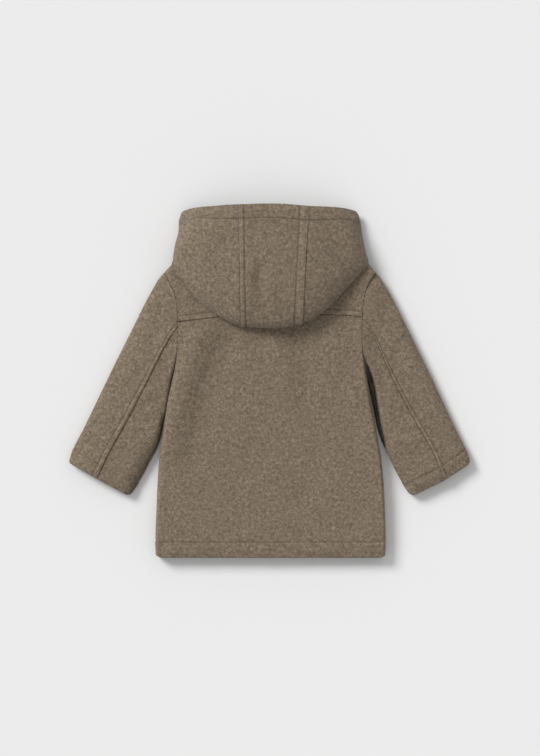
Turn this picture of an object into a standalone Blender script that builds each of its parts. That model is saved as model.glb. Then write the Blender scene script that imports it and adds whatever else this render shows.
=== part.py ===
"""Small child's hooded duffle coat of heathered wool cloth, laid flat on its front.

Every piece that is cut and sewn is an open surface of its outer face, and Solidify gives it the
cloth's thickness inwards. The tables and functions work in millimetres in the laid-out coat's own
frame: x towards the wearer's right sleeve, y from the hem towards the hood, z up from the surface
under the coat. The meshes are written in metres, centred over that surface.
"""
import bmesh
import bpy
import numpy as np

# Cloth, in millimetres
CLOTH = 2.8            # wall of the wool cloth
TURNED_CLOTH = 3.8     # wall where a hem, cuff or face edge is turned up
TURN_UP = 20.0         # depth of those turned edges
SEAM_GAP = 0.3         # between two pieces along a seam
LAP = 20.0             # how far each front reaches past the centre
RAISED = 0.8           # how far a topstitched piece stands over its neighbour
RAISED_WIDTH = 22.0    # how far from the seam that fades out

# The laid coat, in millimetres
FOLD_SHARE = 0.485     # height of a side fold, as a share of the coat's height there
BODY_ROLL = 9.0        # reach of the rounding beside a fold on the body's upper layer
ARM_TOP_ROLL = 15.0    # the same on a sleeve's upper layer
ROLL_UNDER = 10.0      # the same on the layer that lies on the surface
SEAM_ROLL = 36.0       # reach over which an armhole opens from its ends
FOLD_STRIP = 1.5       # upright strip along a fold, where two pieces meet edge to edge
HOOD_REST = 22.8       # underside of the hood where it lies on the yoke
HOOD_ROLL_OVER = 34.0  # rounding from the hood's rim up to its crown
HOOD_ROLL_UNDER = 15.0
LAP_STEP = (34.0, 56.0)        # x where the right front starts to sink to the surface, and reaches it
HEM_STEP = (26.0, 38.0)        # y over which its extra rise over the other front's hem fades out
ARM_BLEND = 0.22               # share of a sleeve's length over which it leaves the armhole's height
ARM_ROLL = (1.2, 0.3)          # wider rounding beside its fold at the armhole, and where that ends
ARM_STEP = 0.1                 # share of a sleeve's length over which its raised seam rises
CUFF_TURNED = 0.93             # share of a sleeve's length past which its cloth is turned up
ARM_SPACING = 1.7              # power that draws a sleeve's columns together towards its fold
BESIDE_SEAM = (0.015, 0.98)    # station and share of the narrow column beside a sleeve's seam
HOOD_RISE = 3                  # power of the hood's rise from where it rests up to its neck edge
HOOD_LANDING = (6.3, 7.6)      # stations between which the hood's underside comes to lie on the yoke
HOOD_OVERHANG = (-22.0, 4.0)   # the same across the shoulder line, in distance inside that line
HOOD_CROWN_FALL = 2.4          # power of the crown's fall towards the face edge
HOOD_LAP_REACH = 18.0          # reach of the lap's step on the hood's front end

WOOL = {"back": "7A6D5D", "yoke": "7B6E5E", "front": "766A5A", "sleeve": "7E715F", "hood": "7C6F5F"}
WOOL_ROUGHNESS = 0.95


def table(columns, *rows):
    """A short table: named columns, one row for each section."""
    return dict(zip(columns.split(), np.array(rows, float).T))


# Side edges of the body, hem to shoulder tip; from the underarm up they are the armhole seams.
BODY_EDGE = table(
    "y left right",
    (2.5, -155.2, 155.2),
    (8, -156.8, 156.8),
    (79, -154.5, 155),
    (133, -151.5, 150.8),
    (165, -147, 146),
    (215, -139.6, 137.2),
    (254, -131.4, 130.8),
    (283, -127, 125),
    (326, -126, 124.5),
    (358, -129.5, 128),
    (372, -136, 133.5),
    (388, -144.5, 143),
)
# Stations along a side edge: 0 hem, 1 underarm, 2 yoke seam, 3 shoulder tip.
SIDE_MARKS = {"left": (2.5, 254, 321, 388), "right": (2.5, 254, 327.5, 388)}
BELOW_ARM = (0, 0.022, 0.068, 0.078, 0.2, 0.4, 0.6, 0.8, 0.93, 1)
ARM_UNDER = (1, 1.04, 1.14, 1.3, 1.5, 1.7, 1.88)
ARM_UPPER = (1.88, 2, 2.3, 2.55, 2.75, 2.88, 2.96, 3)
BACK_SEAM = 1.88       # where the sleeve's back seam meets the armhole
FRONT_SEAM = 1.5       # where its front seam does
HEM = table("x y", (-155.2, 2.5), (-149, 0.2), (-60, 0), (60, 0), (149, 0.2), (155.2, 2.5))
YOKE_SEAM = table("x y", (-126, 321), (-98, 324.6), (-60, 328.5), (0, 330), (66, 331), (100, 330),
                  (124.5, 327.5))
SHOULDER = {
    "left": table("x y", (-144.5, 388), (-138.6, 394.2), (-132, 400.6), (-100, 412), (-66, 424)),
    "right": table("x y", (143, 388), (138, 394.4), (132, 400.6), (100, 412), (66, 424)),
}
BACK_NECK = table("x y", (-66, 424), (-40, 414.5), (0, 409), (40, 414.5), (66, 424))
FRONT_NECK = table("x y", (66, 424), (63.5, 411), (56, 397), (42, 384), (24, 374), (1.5, 370), (-20, 371.5))
NECK_SHARES = (0, 0.14, 0.3, 0.47, 0.64, 0.815, 1)    # columns along it; the hood ends at the last but one
SHOULDER_SHARE = 0.48                                 # share of a front's top edge that is shoulder
BACK_SHOULDER_SHARE = 0.275                           # share of the yoke's top edge that is one shoulder
BACK_MIDDLE = (0.36, 0.43, 0.5, 0.57, 0.64)           # columns of the back's middle
BACK_SPAN = 300.0                                     # widths that space the columns beside the folds
FRONT_SPAN = 165.0
HEM_CORNER = 0.04                                     # share of a front's hem in its rounded corner
STRIP_FADE = 0.3                                      # share of the back over which those give way
# Height of the body's upper face along the coat.
BODY_HEIGHT = table("y top", (0, 17.4), (4, 18.8), (14, 19.9), (45, 20.7), (150, 21.4), (330, 21.4),
                    (424, 20.5))

# Sleeves: outer and inner fold in plan, shoulder or underarm to cuff, and the back and front seams.
OUTER_FOLD = {
    "left": ((-144.5, 388), (-151, 380.5), (-155.9, 372.6), (-168, 351), (-189.7, 307.4), (-211.5, 263.8),
             (-253.6, 176.8), (-270, 144.2), (-274.6, 129.5)),
    "right": ((143, 388), (149.5, 380.5), (154.4, 372.6), (166.6, 351), (188.4, 307.4), (210, 263.8),
              (251, 176.8), (267.2, 144.2), (272.4, 130.5)),
}
INNER_FOLD = {
    "left": ((-131.7, 254), (-137.4, 235), (-142.2, 214), (-146.6, 190), (-150.2, 169), (-154, 152),
             (-164, 130.6), (-174.8, 110), (-190.5, 86.5)),
    "right": ((131.1, 254), (138, 238), (143, 219), (146, 194.5), (149.8, 174), (153.4, 157.8),
              (159.8, 140), (169.3, 119.7), (190, 86.8)),
}
SLEEVE_BACK_SEAM = {
    "left": ((-126.4, 313), (-138.6, 296.5), (-166.5, 242), (-194.5, 187.7), (-220, 141.4), (-236.5, 107)),
    "right": ((124.9, 318.7), (131, 313.5), (137.5, 305.5), (145, 291), (167, 242), (197, 185), (218.3, 148.2),
              (236.4, 106.6)),
}
SLEEVE_FRONT_SEAM = {
    "left": ((-128, 287.5), (-160, 250), (-205, 165), (-232, 105)),
    "right": ((127, 289.5), (160, 250), (204, 165), (231, 105)),
}
SLEEVE_ROWS = (0, 0.006, 0.035, 0.09, 0.16, 0.24, 0.34, 0.44, 0.54, 0.64, 0.74, 0.84, 0.925, 0.932, 0.98, 1)
SLEEVE = table("along top fold", (0, 19.5, 8.6), (0.3, 18.5, 8), (0.85, 17, 7.4), (0.98, 15.6, 7),
               (1, 14.6, 6.8))

# Hood, by stations from the centre front (0) past the neck point (5) and the mouth's corner (6) to
# the centre back. face: its face edge. rim: where it folds over, its outline. Both sides are given.
CENTRE_BACK = 12.0
NECK_POINT = 5
HOOD_PLAN = {
    "left": table(
        "station face_x face_y rim_x rim_y",
        (0, -1.5, 391, -1.5, 381),
        (1, -15, 400.5, -18.5, 388),
        (2, -28, 410, -33, 398),
        (3, -41, 419, -46, 407),
        (4, -55, 429, -58.5, 419.5),
        (5, -73, 441, -69.5, 433),
        (5.6, -99, 455.5, -94, 447),
        (6, -119.5, 466.5, -123.2, 461),
        (6.4, -121.3, 470, -124.6, 454),
        (7, -116, 473.4, -125.2, 444),
        (8, -104, 476.6, -130.2, 424),
        (9, -88, 478.6, -132.8, 401.5),
        (10, -70, 479.8, -109, 363.5),
        (10.5, -58, 480.4, -76, 332.2),
        (11, -43.7, 480.8, -40.5, 315.4),
        (12, 2, 482, 2, 313.4),
    ),
    "right": table(
        "station face_x face_y rim_x rim_y",
        (0, 1.5, 391, 1.5, 381),
        (1, 15, 400.5, 18.5, 388),
        (2, 28, 410, 33, 398),
        (3, 41, 419, 46, 407),
        (4, 55, 429, 58.5, 419.5),
        (5, 73, 441, 69.5, 433),
        (5.6, 98, 455.5, 93, 447),
        (6, 117, 466.5, 120.6, 461),
        (6.4, 118.4, 470, 122.4, 454),
        (7, 112.5, 473.4, 124.4, 442.5),
        (8, 101, 476, 128.4, 421),
        (9, 88, 477.4, 131.8, 403),
        (10, 72, 478, 104, 368),
        (10.5, 63, 478.2, 76, 338),
        (11, 52.2, 478.6, 43.8, 319.5),
        (12, 2, 482, 2, 313.4),
    ),
}
HOOD_HEIGHT = table(
    "station face crown rim",
    (0, 0, 0, 0),
    (5, 0, 0, 0),
    (5.6, 1, 1.5, 0.5),
    (6, 7, 9, 5),
    (6.4, 13, 17, 8),
    (7, 18, 25, 11),
    (8, 22.5, 36, 16),
    (9, 25, 44, 24),
    (10, 27, 50, 32),
    (11, 28, 54.5, 38),
    (12, 28.5, 55.5, 39),
)
HOOD_NECK = table(
    "station x y z",
    (5, 65.6, 424.6, 0),
    (5.6, 65.9, 425, 3),
    (6, 66.1, 425.3, 6),
    (6.4, 66.2, 425.6, 9),
    (7, 66.2, 426, 13.5),
    (8, 63, 425.8, 19),
    (9, 53, 419.8, 22),
    (10, 41, 415.4, 22),
    (11, 25, 411.8, 22),
    (12, 0, 409.6, 22),
)
HOOD_SIDE_STATIONS = (0, 1, 2, 3, 4, 5, 5.6, 6, 6.4, 6.7, 7, 7.5, 8, 8.5, 9, 9.35, 9.7, 10, 10.25, 10.5,
                      10.75, 10.97, 11)
HOOD_STRIP_STATIONS = (11, 11.03, 11.4, 11.8, 12.2, 12.6, 12.97, 13)
FACE_TO_RIM = (1, 0.885, 0.86, 0.72, 0.55, 0.4, 0.27, 0.16, 0.08, 0.025, 0)
RIM_TO_NECK = (0.03, 0.1, 0.2, 0.38, 0.66, 1)


def smooth(at, knots, values):
    """Cubic curve through a table's rows that never overshoots them: at each row its slope is the
    harmonic mean of the slopes on either side, or level where they differ in sign."""
    at = np.asarray(at, float)
    knots = np.asarray(knots, float)
    values = np.asarray(values, float)
    secant = np.diff(values) / np.diff(knots)
    product = secant[:-1] * secant[1:]
    total = np.where(product > 0, secant[:-1] + secant[1:], 1)
    between = np.where(product > 0, 2 * product / total, 0)
    slope = np.concatenate([secant[:1], between, secant[-1:]])
    row = np.clip(np.searchsorted(knots, at) - 1, 0, len(knots) - 2)
    span = knots[row + 1] - knots[row]
    q = np.clip((at - knots[row]) / span, 0, 1)
    start = (1 + 2 * q) * (1 - q) ** 2 * values[row] + q * (1 - q) ** 2 * span * slope[row]
    end = q * q * (3 - 2 * q) * values[row + 1] - q * q * (1 - q) * span * slope[row + 1]
    return start + end


def ease(q):
    """Soft step from 0 to 1."""
    q = np.clip(q, 0, 1)
    return q * q * (3 - 2 * q)


def swell(distance, reach, start=0.0):
    """Quarter ellipse from `start` at distance 0 up to 1 at `reach`: the rounding beside a fold."""
    foot = np.sqrt(1 - np.clip(start, 0, 1) ** 2)
    return np.sqrt(1 - np.clip(foot - distance / reach, 0, 1) ** 2)


def curve(points):
    """Plan curve through points, as a function of the share of its length from 0 to 1."""
    points = np.asarray(points, float)
    length = np.concatenate([[0], np.cumsum(np.linalg.norm(np.diff(points, axis=0), axis=1))])
    share = length / length[-1]
    return lambda at: np.stack([smooth(at, share, points[:, 0]), smooth(at, share, points[:, 1])], -1)


def table_curve(rows):
    return curve(np.stack([rows["x"], rows["y"]], -1))


def coons(low, high, first, last, u, v):
    """Plan patch between four edges: low and high run along u, first and last along v."""
    u = u[..., None]
    v = v[..., None]
    low_first, low_last = low[:, :1], low[:, -1:]
    high_first, high_last = high[:, :1], high[:, -1:]
    corners = (1 - v) * ((1 - u) * low_first + u * low_last) + v * ((1 - u) * high_first + u * high_last)
    return (1 - v) * low + v * high + (1 - u) * first + u * last - corners


def distance(plan, edge):
    return np.linalg.norm(plan - edge, axis=-1)


# ---- body ----------------------------------------------------------------------------------------

def sign(side):
    return -1 if side == "left" else 1


def widened(station):
    """The gap of a fold's seam is doubled at the underarm and the shoulder tip, where three pieces meet."""
    return 1 + ease((station - 0.9) / 0.1)


def body_height(y):
    return smooth(y, BODY_HEIGHT["y"], BODY_HEIGHT["top"])


def fold_height(y):
    return FOLD_SHARE * body_height(y)


def side_y(side, station):
    return np.interp(station, (0, 1, 2, 3), SIDE_MARKS[side])


def side_edge(side, station, inset=0.0):
    """Plan points of the body's side edge, moved towards the coat's middle by `inset`."""
    y = side_y(side, station)
    x = smooth(y, BODY_EDGE["y"], BODY_EDGE[side]) - sign(side) * inset
    return np.stack([x, y], -1)


def opened(side, station):
    """How far the armhole stands open: 0 at underarm and shoulder tip, 1 between them."""
    y = side_y(side, station)
    _, underarm, _, tip = SIDE_MARKS[side]
    return swell(np.clip(np.minimum(y - underarm, tip - y), 0, None), SEAM_ROLL)


def turned_hem(y):
    """1 in the turned-up hem, where the cloth is doubled, and 0 above it."""
    return np.where(y < TURN_UP, 1.0, 0.0)


def lap_rise(x, y):
    """The right front steps up over the left one where they lap."""
    hem_extra = (TURNED_CLOTH - CLOTH) * (1 - ease((y - HEM_STEP[0]) / (HEM_STEP[1] - HEM_STEP[0])))
    sinking = ease((x - LAP_STEP[0]) / (LAP_STEP[1] - LAP_STEP[0]))
    return (CLOTH + SEAM_GAP + hem_extra) * (1 - sinking)


def strip_beside(opening, rise, reach):
    """The narrow first strip along a side edge follows the cloth's slope there: upright at a fold,
    level where the armhole stands open. Returns its width in plan and its height as a share of rise."""
    level = reach * opening
    upright = rise * np.sqrt(1 - opening ** 2)
    slope = np.hypot(level, upright)
    return FOLD_STRIP * level / slope, FOLD_STRIP / rise * upright / slope


def fold_columns(width):
    """Shares of a panel's width from a fold inwards, close together where the cloth rounds over."""
    return np.array((0, 0, 1.2, 3, 6, 12, 26)) / width


def back_sheet(stations, low, high, shoulders):
    """Upper layer of the body between two cross lines, its side edges at the folds or armholes."""
    rows = np.array(stations, float)
    left_part = np.concatenate([fold_columns(BACK_SPAN), (0.18, BACK_SHOULDER_SHARE)])
    u = np.tile(np.concatenate([left_part, BACK_MIDDLE, 1 - left_part[::-1]]), (len(rows), 1))
    open_left, open_right = opened("left", rows), opened("right", rows)
    rise = (1 - FOLD_SHARE) * body_height(side_y("left", rows))
    strip_left, lift_left = strip_beside(open_left, rise, BODY_ROLL)
    strip_right, lift_right = strip_beside(open_right, rise, BODY_ROLL)
    fade = 1 - left_part[1:] / STRIP_FADE
    u[:, 1:len(left_part)] += strip_left[:, None] / BACK_SPAN * fade
    u[:, -len(left_part):-1] -= strip_right[:, None] / BACK_SPAN * fade[::-1]
    v = np.repeat(((rows - rows[0]) / (rows[-1] - rows[0]))[:, None], u.shape[1], axis=1)
    first = side_edge("left", rows, SEAM_GAP / 2)[:, None]
    last = side_edge("right", rows, SEAM_GAP / 2)[:, None]
    plan = coons(low(u), high(u), first, last, u, v)
    plan[0 if shoulders else -1, :, 1] += SEAM_GAP / 2 * (1 if shoulders else -1)
    y = plan[..., 1]
    from_left = np.maximum(distance(plan, plan[:, :1]) - strip_left[:, None], 0)
    from_right = np.maximum(distance(plan, plan[:, -1:]) - strip_right[:, None], 0)
    share = swell(from_left, BODY_ROLL, (open_left + lift_left)[:, None])
    share *= swell(from_right, BODY_ROLL, (open_right + lift_right)[:, None])
    share[:, 0] = open_left
    share[:, -1] = open_right
    if shoulders:
        neck = BACK_NECK["x"][-1]
        open_neck = swell(np.clip(neck - np.abs(plan[-1, :, 0]), 0, None), SEAM_ROLL)
        upright = FOLD_STRIP / (body_height(y) - fold_height(y))
        rounded = swell(distance(plan, plan[-1:]), BODY_ROLL, np.maximum(open_neck[None], upright))
        rounded[-1] = open_neck
        share = np.minimum(share, rounded)
        share[-1, [0, -1]] = 0
    z = fold_height(y) + (body_height(y) - fold_height(y)) * share
    z += SEAM_GAP / 2 * (share < 0.01) * widened(rows)[:, None]
    return np.concatenate([plan, z[..., None]], -1)


def make_back():
    seam = table_curve(YOKE_SEAM)
    hem = table_curve(HEM)
    points = back_sheet(BELOW_ARM + ARM_UNDER[1:] + (1.98, 2), hem, seam, False)
    add_wall("back_panel", points, WOOL["back"], turned_hem(points[..., 1]))


def shoulder_line(u):
    """Left shoulder, back neck and right shoulder as one edge; the neck points lie at set shares."""
    share = BACK_SHOULDER_SHARE
    rise = table_curve(SHOULDER["left"])(u / share)
    neck = table_curve(BACK_NECK)((u - share) / (1 - 2 * share))
    fall = table_curve(SHOULDER["right"])((1 - u) / share)
    edge = np.where((u < share)[..., None], rise, neck)
    return np.where((u > 1 - share)[..., None], fall, edge)


def make_yoke():
    points = back_sheet((2, 2.02) + ARM_UPPER[2:] + (3,), table_curve(YOKE_SEAM), shoulder_line, True)
    points[..., 2] += RAISED * (1 - ease(distance(points[..., :2], points[:1, :, :2]) / RAISED_WIDTH))
    add_wall("back_yoke", points, WOOL["yoke"], np.zeros(points.shape[:2]))


def front_neck(side):
    """Neckline of one front, from the shoulder to its lapping edge, by shares of its length."""
    s = sign(side)
    return curve(np.stack([s * FRONT_NECK["x"], FRONT_NECK["y"]], -1))


def make_front(side):
    """One front on the lower layer: flat on the surface, turned up round the side and shoulder folds."""
    s = sign(side)
    rows = np.array(BELOW_ARM + ARM_UNDER[1:] + ARM_UPPER[1:] + (3,), float)
    neck_columns = SHOULDER_SHARE + (1 - SHOULDER_SHARE) * np.array(NECK_SHARES)
    fold_part = fold_columns(FRONT_SPAN)[:-1]
    u = np.tile(np.concatenate([fold_part, (0.18, 0.32), neck_columns]), (len(rows), 1))
    open_side = opened(side, rows)
    strip, lift_side = strip_beside(open_side, fold_height(side_y(side, rows)), ROLL_UNDER)
    u[:, 1:len(fold_part)] += strip[:, None] / FRONT_SPAN
    v = np.repeat(((rows - rows[0]) / (rows[-1] - rows[0]))[:, None], u.shape[1], axis=1)
    edge = -s * LAP
    hem_side = s * HEM["x"][-1]
    low = np.stack([hem_side + (edge - hem_side) * u, HEM["y"][-1] * (1 - ease(u / HEM_CORNER))], -1)
    shoulder = table_curve(SHOULDER[side])(u / SHOULDER_SHARE)
    neck = front_neck(side)((u - SHOULDER_SHARE) / (1 - SHOULDER_SHARE))
    high = np.where((u < SHOULDER_SHARE)[..., None], shoulder, neck)
    first = side_edge(side, rows, SEAM_GAP / 2)[:, None]
    centre = np.stack([np.full(len(rows), float(edge)), FRONT_NECK["y"][-1] * v[:, 0]], -1)[:, None]
    plan = coons(low, high, first, centre, u, v)
    y = plan[..., 1]
    upright = FOLD_STRIP / fold_height(y)
    from_side = np.maximum(distance(plan, plan[:, :1]) - strip[:, None], 0)
    share = swell(from_side, ROLL_UNDER, (open_side + lift_side)[:, None])
    share[:, 0] = open_side
    from_point = np.clip(FRONT_NECK["x"][0] - np.abs(plan[-1, :, 0]), 0, None)
    open_neck = swell(from_point, ROLL_UNDER)
    rounded = swell(distance(plan, plan[-1:]), ROLL_UNDER, np.maximum(open_neck[None], upright))
    rounded[-1] = open_neck
    share = np.minimum(share, rounded)
    share[-1, 0] = 0
    z = fold_height(y) * (1 - share) - SEAM_GAP / 2 * (share < 0.01) * widened(rows)[:, None]
    if side == "right":
        z = z + lap_rise(plan[..., 0], y)
    points = np.concatenate([plan, z[..., None]], -1)
    add_wall("front_" + side, points, WOOL["front"], turned_hem(y), flip=side == "left")


# ---- sleeves -------------------------------------------------------------------------------------

def sleeve_layer(side, stations, shares, seam, fold, top):
    """Half of a sleeve's upper or lower layer, from a seam (first column) to a fold (last column)."""
    v = np.array(SLEEVE_ROWS)[:, None]
    u = 1 - np.array(shares)[None]
    armhole = side_edge(side, np.array(stations), -SEAM_GAP / 2)[None]
    cuff_seam, cuff_fold = seam(1.0), fold(1.0)
    cuff = cuff_seam + (cuff_fold - cuff_seam) * u[..., None]
    first = seam(v)
    last = fold(v)
    rows, columns = np.broadcast_arrays(v, u)
    plan = coons(armhole, cuff, first + (armhole[:, :1] - seam(0.0)) * (1 - v[..., None]),
                 last + (armhole[:, -1:] - fold(0.0)) * (1 - v[..., None]), columns, rows)
    high = smooth(rows, SLEEVE["along"], SLEEVE["top"])
    middle = smooth(rows, SLEEVE["along"], SLEEVE["fold"])
    reach = (ARM_TOP_ROLL if top else ROLL_UNDER) * (1 + ARM_ROLL[0] * (1 - ease(rows / ARM_ROLL[1])))
    share = swell(distance(plan, plan[:, -1:]), reach)
    station = np.array(stations)
    y = side_y(side, station)
    opening = opened(side, station)
    if top:
        z = middle + (high - middle) * share
        z_arm = fold_height(y) + (body_height(y) - fold_height(y)) * opening
    else:
        z = middle * (1 - share)
        z_arm = fold_height(y) * (1 - opening)
    blend = ease(rows / ARM_BLEND)
    z = z * blend + z_arm[None] * (1 - blend)
    return np.concatenate([plan, z[..., None]], -1)


def sleeve_stations(half, top):
    """Armhole stations of one layer of a sleeve half, from its seam to its fold, and their shares."""
    round_half = ARM_UNDER + ARM_UPPER[1:]
    seam = BACK_SEAM if top else FRONT_SEAM
    if half == "upper":
        stations = [q for q in round_half if q >= seam]
    else:
        stations = [q for q in round_half[::-1] if q <= seam]
    shares = (1 - np.linspace(0, 1, len(stations))) ** ARM_SPACING
    step, share = BESIDE_SEAM
    beside = stations[0] + (step if half == "upper" else -step)
    return np.insert(stations, 1, beside), np.insert(shares, 1, share)


def make_sleeve(side):
    """Two-piece sleeve: the upper half wraps the outer fold, the under half the inner fold."""
    back_seam, front_seam = curve(SLEEVE_BACK_SEAM[side]), curve(SLEEVE_FRONT_SEAM[side])
    folds = {"upper": curve(OUTER_FOLD[side]), "under": curve(INNER_FOLD[side])}
    turned = (np.array(SLEEVE_ROWS) > CUFF_TURNED).astype(float)[:, None]
    for half, fold in folds.items():
        layers = []
        for seam, top in ((back_seam, True), (front_seam, False)):
            stations, shares = sleeve_stations(half, top)
            layer = sleeve_layer(side, stations, shares, seam, fold, top)
            across = layer[:, -1, :2] - layer[:, 0, :2]
            across /= np.linalg.norm(across, axis=-1, keepdims=True)
            layer[:, 0, :2] += across * SEAM_GAP / 2
            if top and half == "upper":
                from_seam = distance(layer[..., :2], layer[:, :1, :2])
                down_sleeve = ease(np.array(SLEEVE_ROWS) / ARM_STEP)[:, None]
                layer[..., 2] += RAISED * (1 - ease(from_seam / RAISED_WIDTH)) * down_sleeve
            layers.append(layer)
        points = np.concatenate([layers[0], layers[1][:, -2::-1]], axis=1)
        thick = np.broadcast_to(turned, points.shape[:2])
        flip = (side == "left") == (half == "under")
        add_wall("sleeve_{}_{}".format(side, half), points, WOOL["sleeve"], thick, flip)


# ---- hood ----------------------------------------------------------------------------------------

def all_round(left, right, column, mirror=1):
    """One column of the hood's tables for the whole way round: left stations, then right ones back."""
    return np.concatenate([left[column], mirror * right[column][-2::-1]])


def hood_column(station, left, right, column, mirror=1):
    knots = np.concatenate([left["station"], 2 * CENTRE_BACK - right["station"][-2::-1]])
    return smooth(station, knots, all_round(left, right, column, mirror))


def inside_shoulder(x, y):
    """Distance in plan inside the line of the shoulder, on either side of the coat."""
    slope = SHOULDER["right"]
    neck = np.array((slope["x"][-1], slope["y"][-1]))
    point = np.array((slope["x"][2], slope["y"][2]))
    along = (neck - point) / np.linalg.norm(neck - point)
    return (y - point[1]) * along[0] - (np.abs(x) - point[0]) * along[1]


def hood_neck(station):
    """The hood's lower edge: beside each front's neckline on the surface, then over the back neck."""
    from_front = CENTRE_BACK - np.abs(CENTRE_BACK - station)
    order = np.arange(NECK_POINT + 1)
    middle = np.array((0, BACK_NECK["y"][0]))
    front = []
    for side in ("left", "right"):
        corners = front_neck(side)(np.array(NECK_SHARES[-2::-1]))
        inward = middle - corners
        corners += SEAM_GAP * 1.3 * inward / np.linalg.norm(inward, axis=-1, keepdims=True)
        front.append(np.stack([np.interp(from_front, order, corners[:, axis]) for axis in (0, 1)], -1))
    on_left = (station <= CENTRE_BACK)[..., None]
    on_front = (from_front < NECK_POINT)[..., None]
    back = np.stack([hood_column(station, HOOD_NECK, HOOD_NECK, "x", -1) * -1,
                     hood_column(station, HOOD_NECK, HOOD_NECK, "y")], -1)
    plan = np.where(on_front, np.where(on_left, front[0], front[1]), back)
    z = np.where(on_front[..., 0], 0, hood_column(station, HOOD_NECK, HOOD_NECK, "z"))
    return plan, z


def hood_sheet(stations):
    """Hood cloth as a net: one row per station, from the face edge over the rim and back to the neck."""
    station = np.array(stations, float)
    raised = RAISED * (station.min() >= HOOD_STRIP_STATIONS[0]) * (station.max() <= HOOD_STRIP_STATIONS[-1])
    left, right = HOOD_PLAN["left"], HOOD_PLAN["right"]
    face = np.stack([hood_column(station, left, right, "face_" + axis) for axis in "xy"], -1)[:, None]
    rim = np.stack([hood_column(station, left, right, "rim_" + axis) for axis in "xy"], -1)[:, None]
    neck, neck_z = hood_neck(station)
    neck = neck[:, None]
    rim = rim + raised * (rim - neck) / np.linalg.norm(rim - neck, axis=-1, keepdims=True)
    face_z, crown_z, rim_z = (
        hood_column(station, HOOD_HEIGHT, HOOD_HEIGHT, name)[:, None] for name in ("face", "crown", "rim"))
    up = np.array(FACE_TO_RIM)
    over = rim + (face - rim) * up[None, :, None]
    from_rim = distance(over, rim)
    crown = crown_z + (face_z - crown_z) * up ** HOOD_CROWN_FALL
    over_z = rim_z + (crown + raised - rim_z) * swell(from_rim, HOOD_ROLL_OVER)
    down = np.array(RIM_TO_NECK)
    under = rim + (neck - rim) * down[None, :, None]
    from_front = (CENTRE_BACK - np.abs(CENTRE_BACK - station))[:, None]
    landed = (from_front - HOOD_LANDING[0]) / (HOOD_LANDING[1] - HOOD_LANDING[0])
    inside = inside_shoulder(under[..., 0], under[..., 1]) - HOOD_OVERHANG[0]
    rest = HOOD_REST * ease(landed) * ease(inside / (HOOD_OVERHANG[1] - HOOD_OVERHANG[0]))
    rest = rest + (neck_z[:, None] - rest) * down ** HOOD_RISE
    under_z = rim_z - (rim_z - rest) * swell(distance(under, rim), HOOD_ROLL_UNDER)
    points = np.concatenate([over, under], axis=1)
    z = np.maximum(np.concatenate([over_z, under_z], axis=1), 0)
    stepped = lap_rise(neck[..., 0], neck[..., 1]) * (1 - ease(distance(points, neck) / HOOD_LAP_REACH))
    z = z + stepped * ((station > CENTRE_BACK) & (from_front[:, 0] < 3))[:, None]
    turned = (distance(points, face) < TURN_UP).astype(float)
    turned[:, -1] = 0
    return np.concatenate([points, z[..., None]], -1), turned


def make_hood():
    gap = SEAM_GAP / 2
    right_stations = [2 * CENTRE_BACK - station for station in HOOD_SIDE_STATIONS[::-1]]
    strips = {"left": HOOD_SIDE_STATIONS, "right": right_stations}
    rows = {"hood_side_" + side: stations for side, stations in strips.items()}
    rows["hood_centre"] = HOOD_STRIP_STATIONS
    for name, stations in rows.items():
        points, turned = hood_sheet(stations)
        for row, towards in ((0, 1), (-1, -2)):
            at_seam = stations[row] in (HOOD_STRIP_STATIONS[0], HOOD_STRIP_STATIONS[-1])
            away = points[towards] - points[row]
            away /= np.linalg.norm(away, axis=-1, keepdims=True)
            points[row] += away * gap * at_seam
        add_wall(name, points, WOOL["hood"], turned)


# ---- meshes --------------------------------------------------------------------------------------

PIECES = []


def add_wall(name, points, colour, turned, flip=False):
    """Keeps one piece: its grid of outer points, colour and where its cloth is doubled."""
    PIECES.append((name, points, colour, turned, flip))


def wool(name, colour):
    """Wool cloth: a Principled material of one colour, given in sRGB hex."""
    material = bpy.data.materials.new(name)
    material.use_nodes = True
    shader = material.node_tree.nodes["Principled BSDF"]
    srgb = [int(colour[i:i + 2], 16) / 255 for i in (0, 2, 4)]
    linear = [((c + 0.055) / 1.055) ** 2.4 for c in srgb]
    shader.inputs["Base Color"].default_value = (*linear, 1)
    shader.inputs["Roughness"].default_value = WOOL_ROUGHNESS
    shader.inputs["Metallic"].default_value = 0.0
    return material


def build_piece(name, points, colour, turned, flip, collection):
    """Grid surface of the outer face, welded at its corners, with Solidify as the cloth's thickness."""
    rows, columns = points.shape[:2]
    index = np.arange(rows * columns).reshape(rows, columns)
    quads = np.stack([index[:-1, :-1], index[:-1, 1:], index[1:, 1:], index[1:, :-1]], -1).reshape(-1, 4)
    if flip:
        quads = quads[:, ::-1]
    mesh = bpy.data.meshes.new(name)
    mesh.from_pydata((points.reshape(-1, 3) / 1000).tolist(), [], quads.tolist())
    piece = bpy.data.objects.new(name, mesh)
    collection.objects.link(piece)
    group = piece.vertex_groups.new(name="turned_up")
    for vertex in np.flatnonzero(turned.reshape(-1) > 0):
        group.add([int(vertex)], 1.0, "REPLACE")
    welded = bmesh.new()
    welded.from_mesh(mesh)
    bmesh.ops.remove_doubles(welded, verts=welded.verts, dist=1e-5)
    welded.to_mesh(mesh)
    welded.free()
    mesh.shade_smooth()
    mesh.materials.append(wool(name + "_wool", colour))
    thickness = piece.modifiers.new("cloth", "SOLIDIFY")
    thickness.thickness = TURNED_CLOTH / 1000
    thickness.offset = -1
    thickness.vertex_group = group.name
    thickness.thickness_vertex_group = CLOTH / TURNED_CLOTH
    return piece


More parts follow.
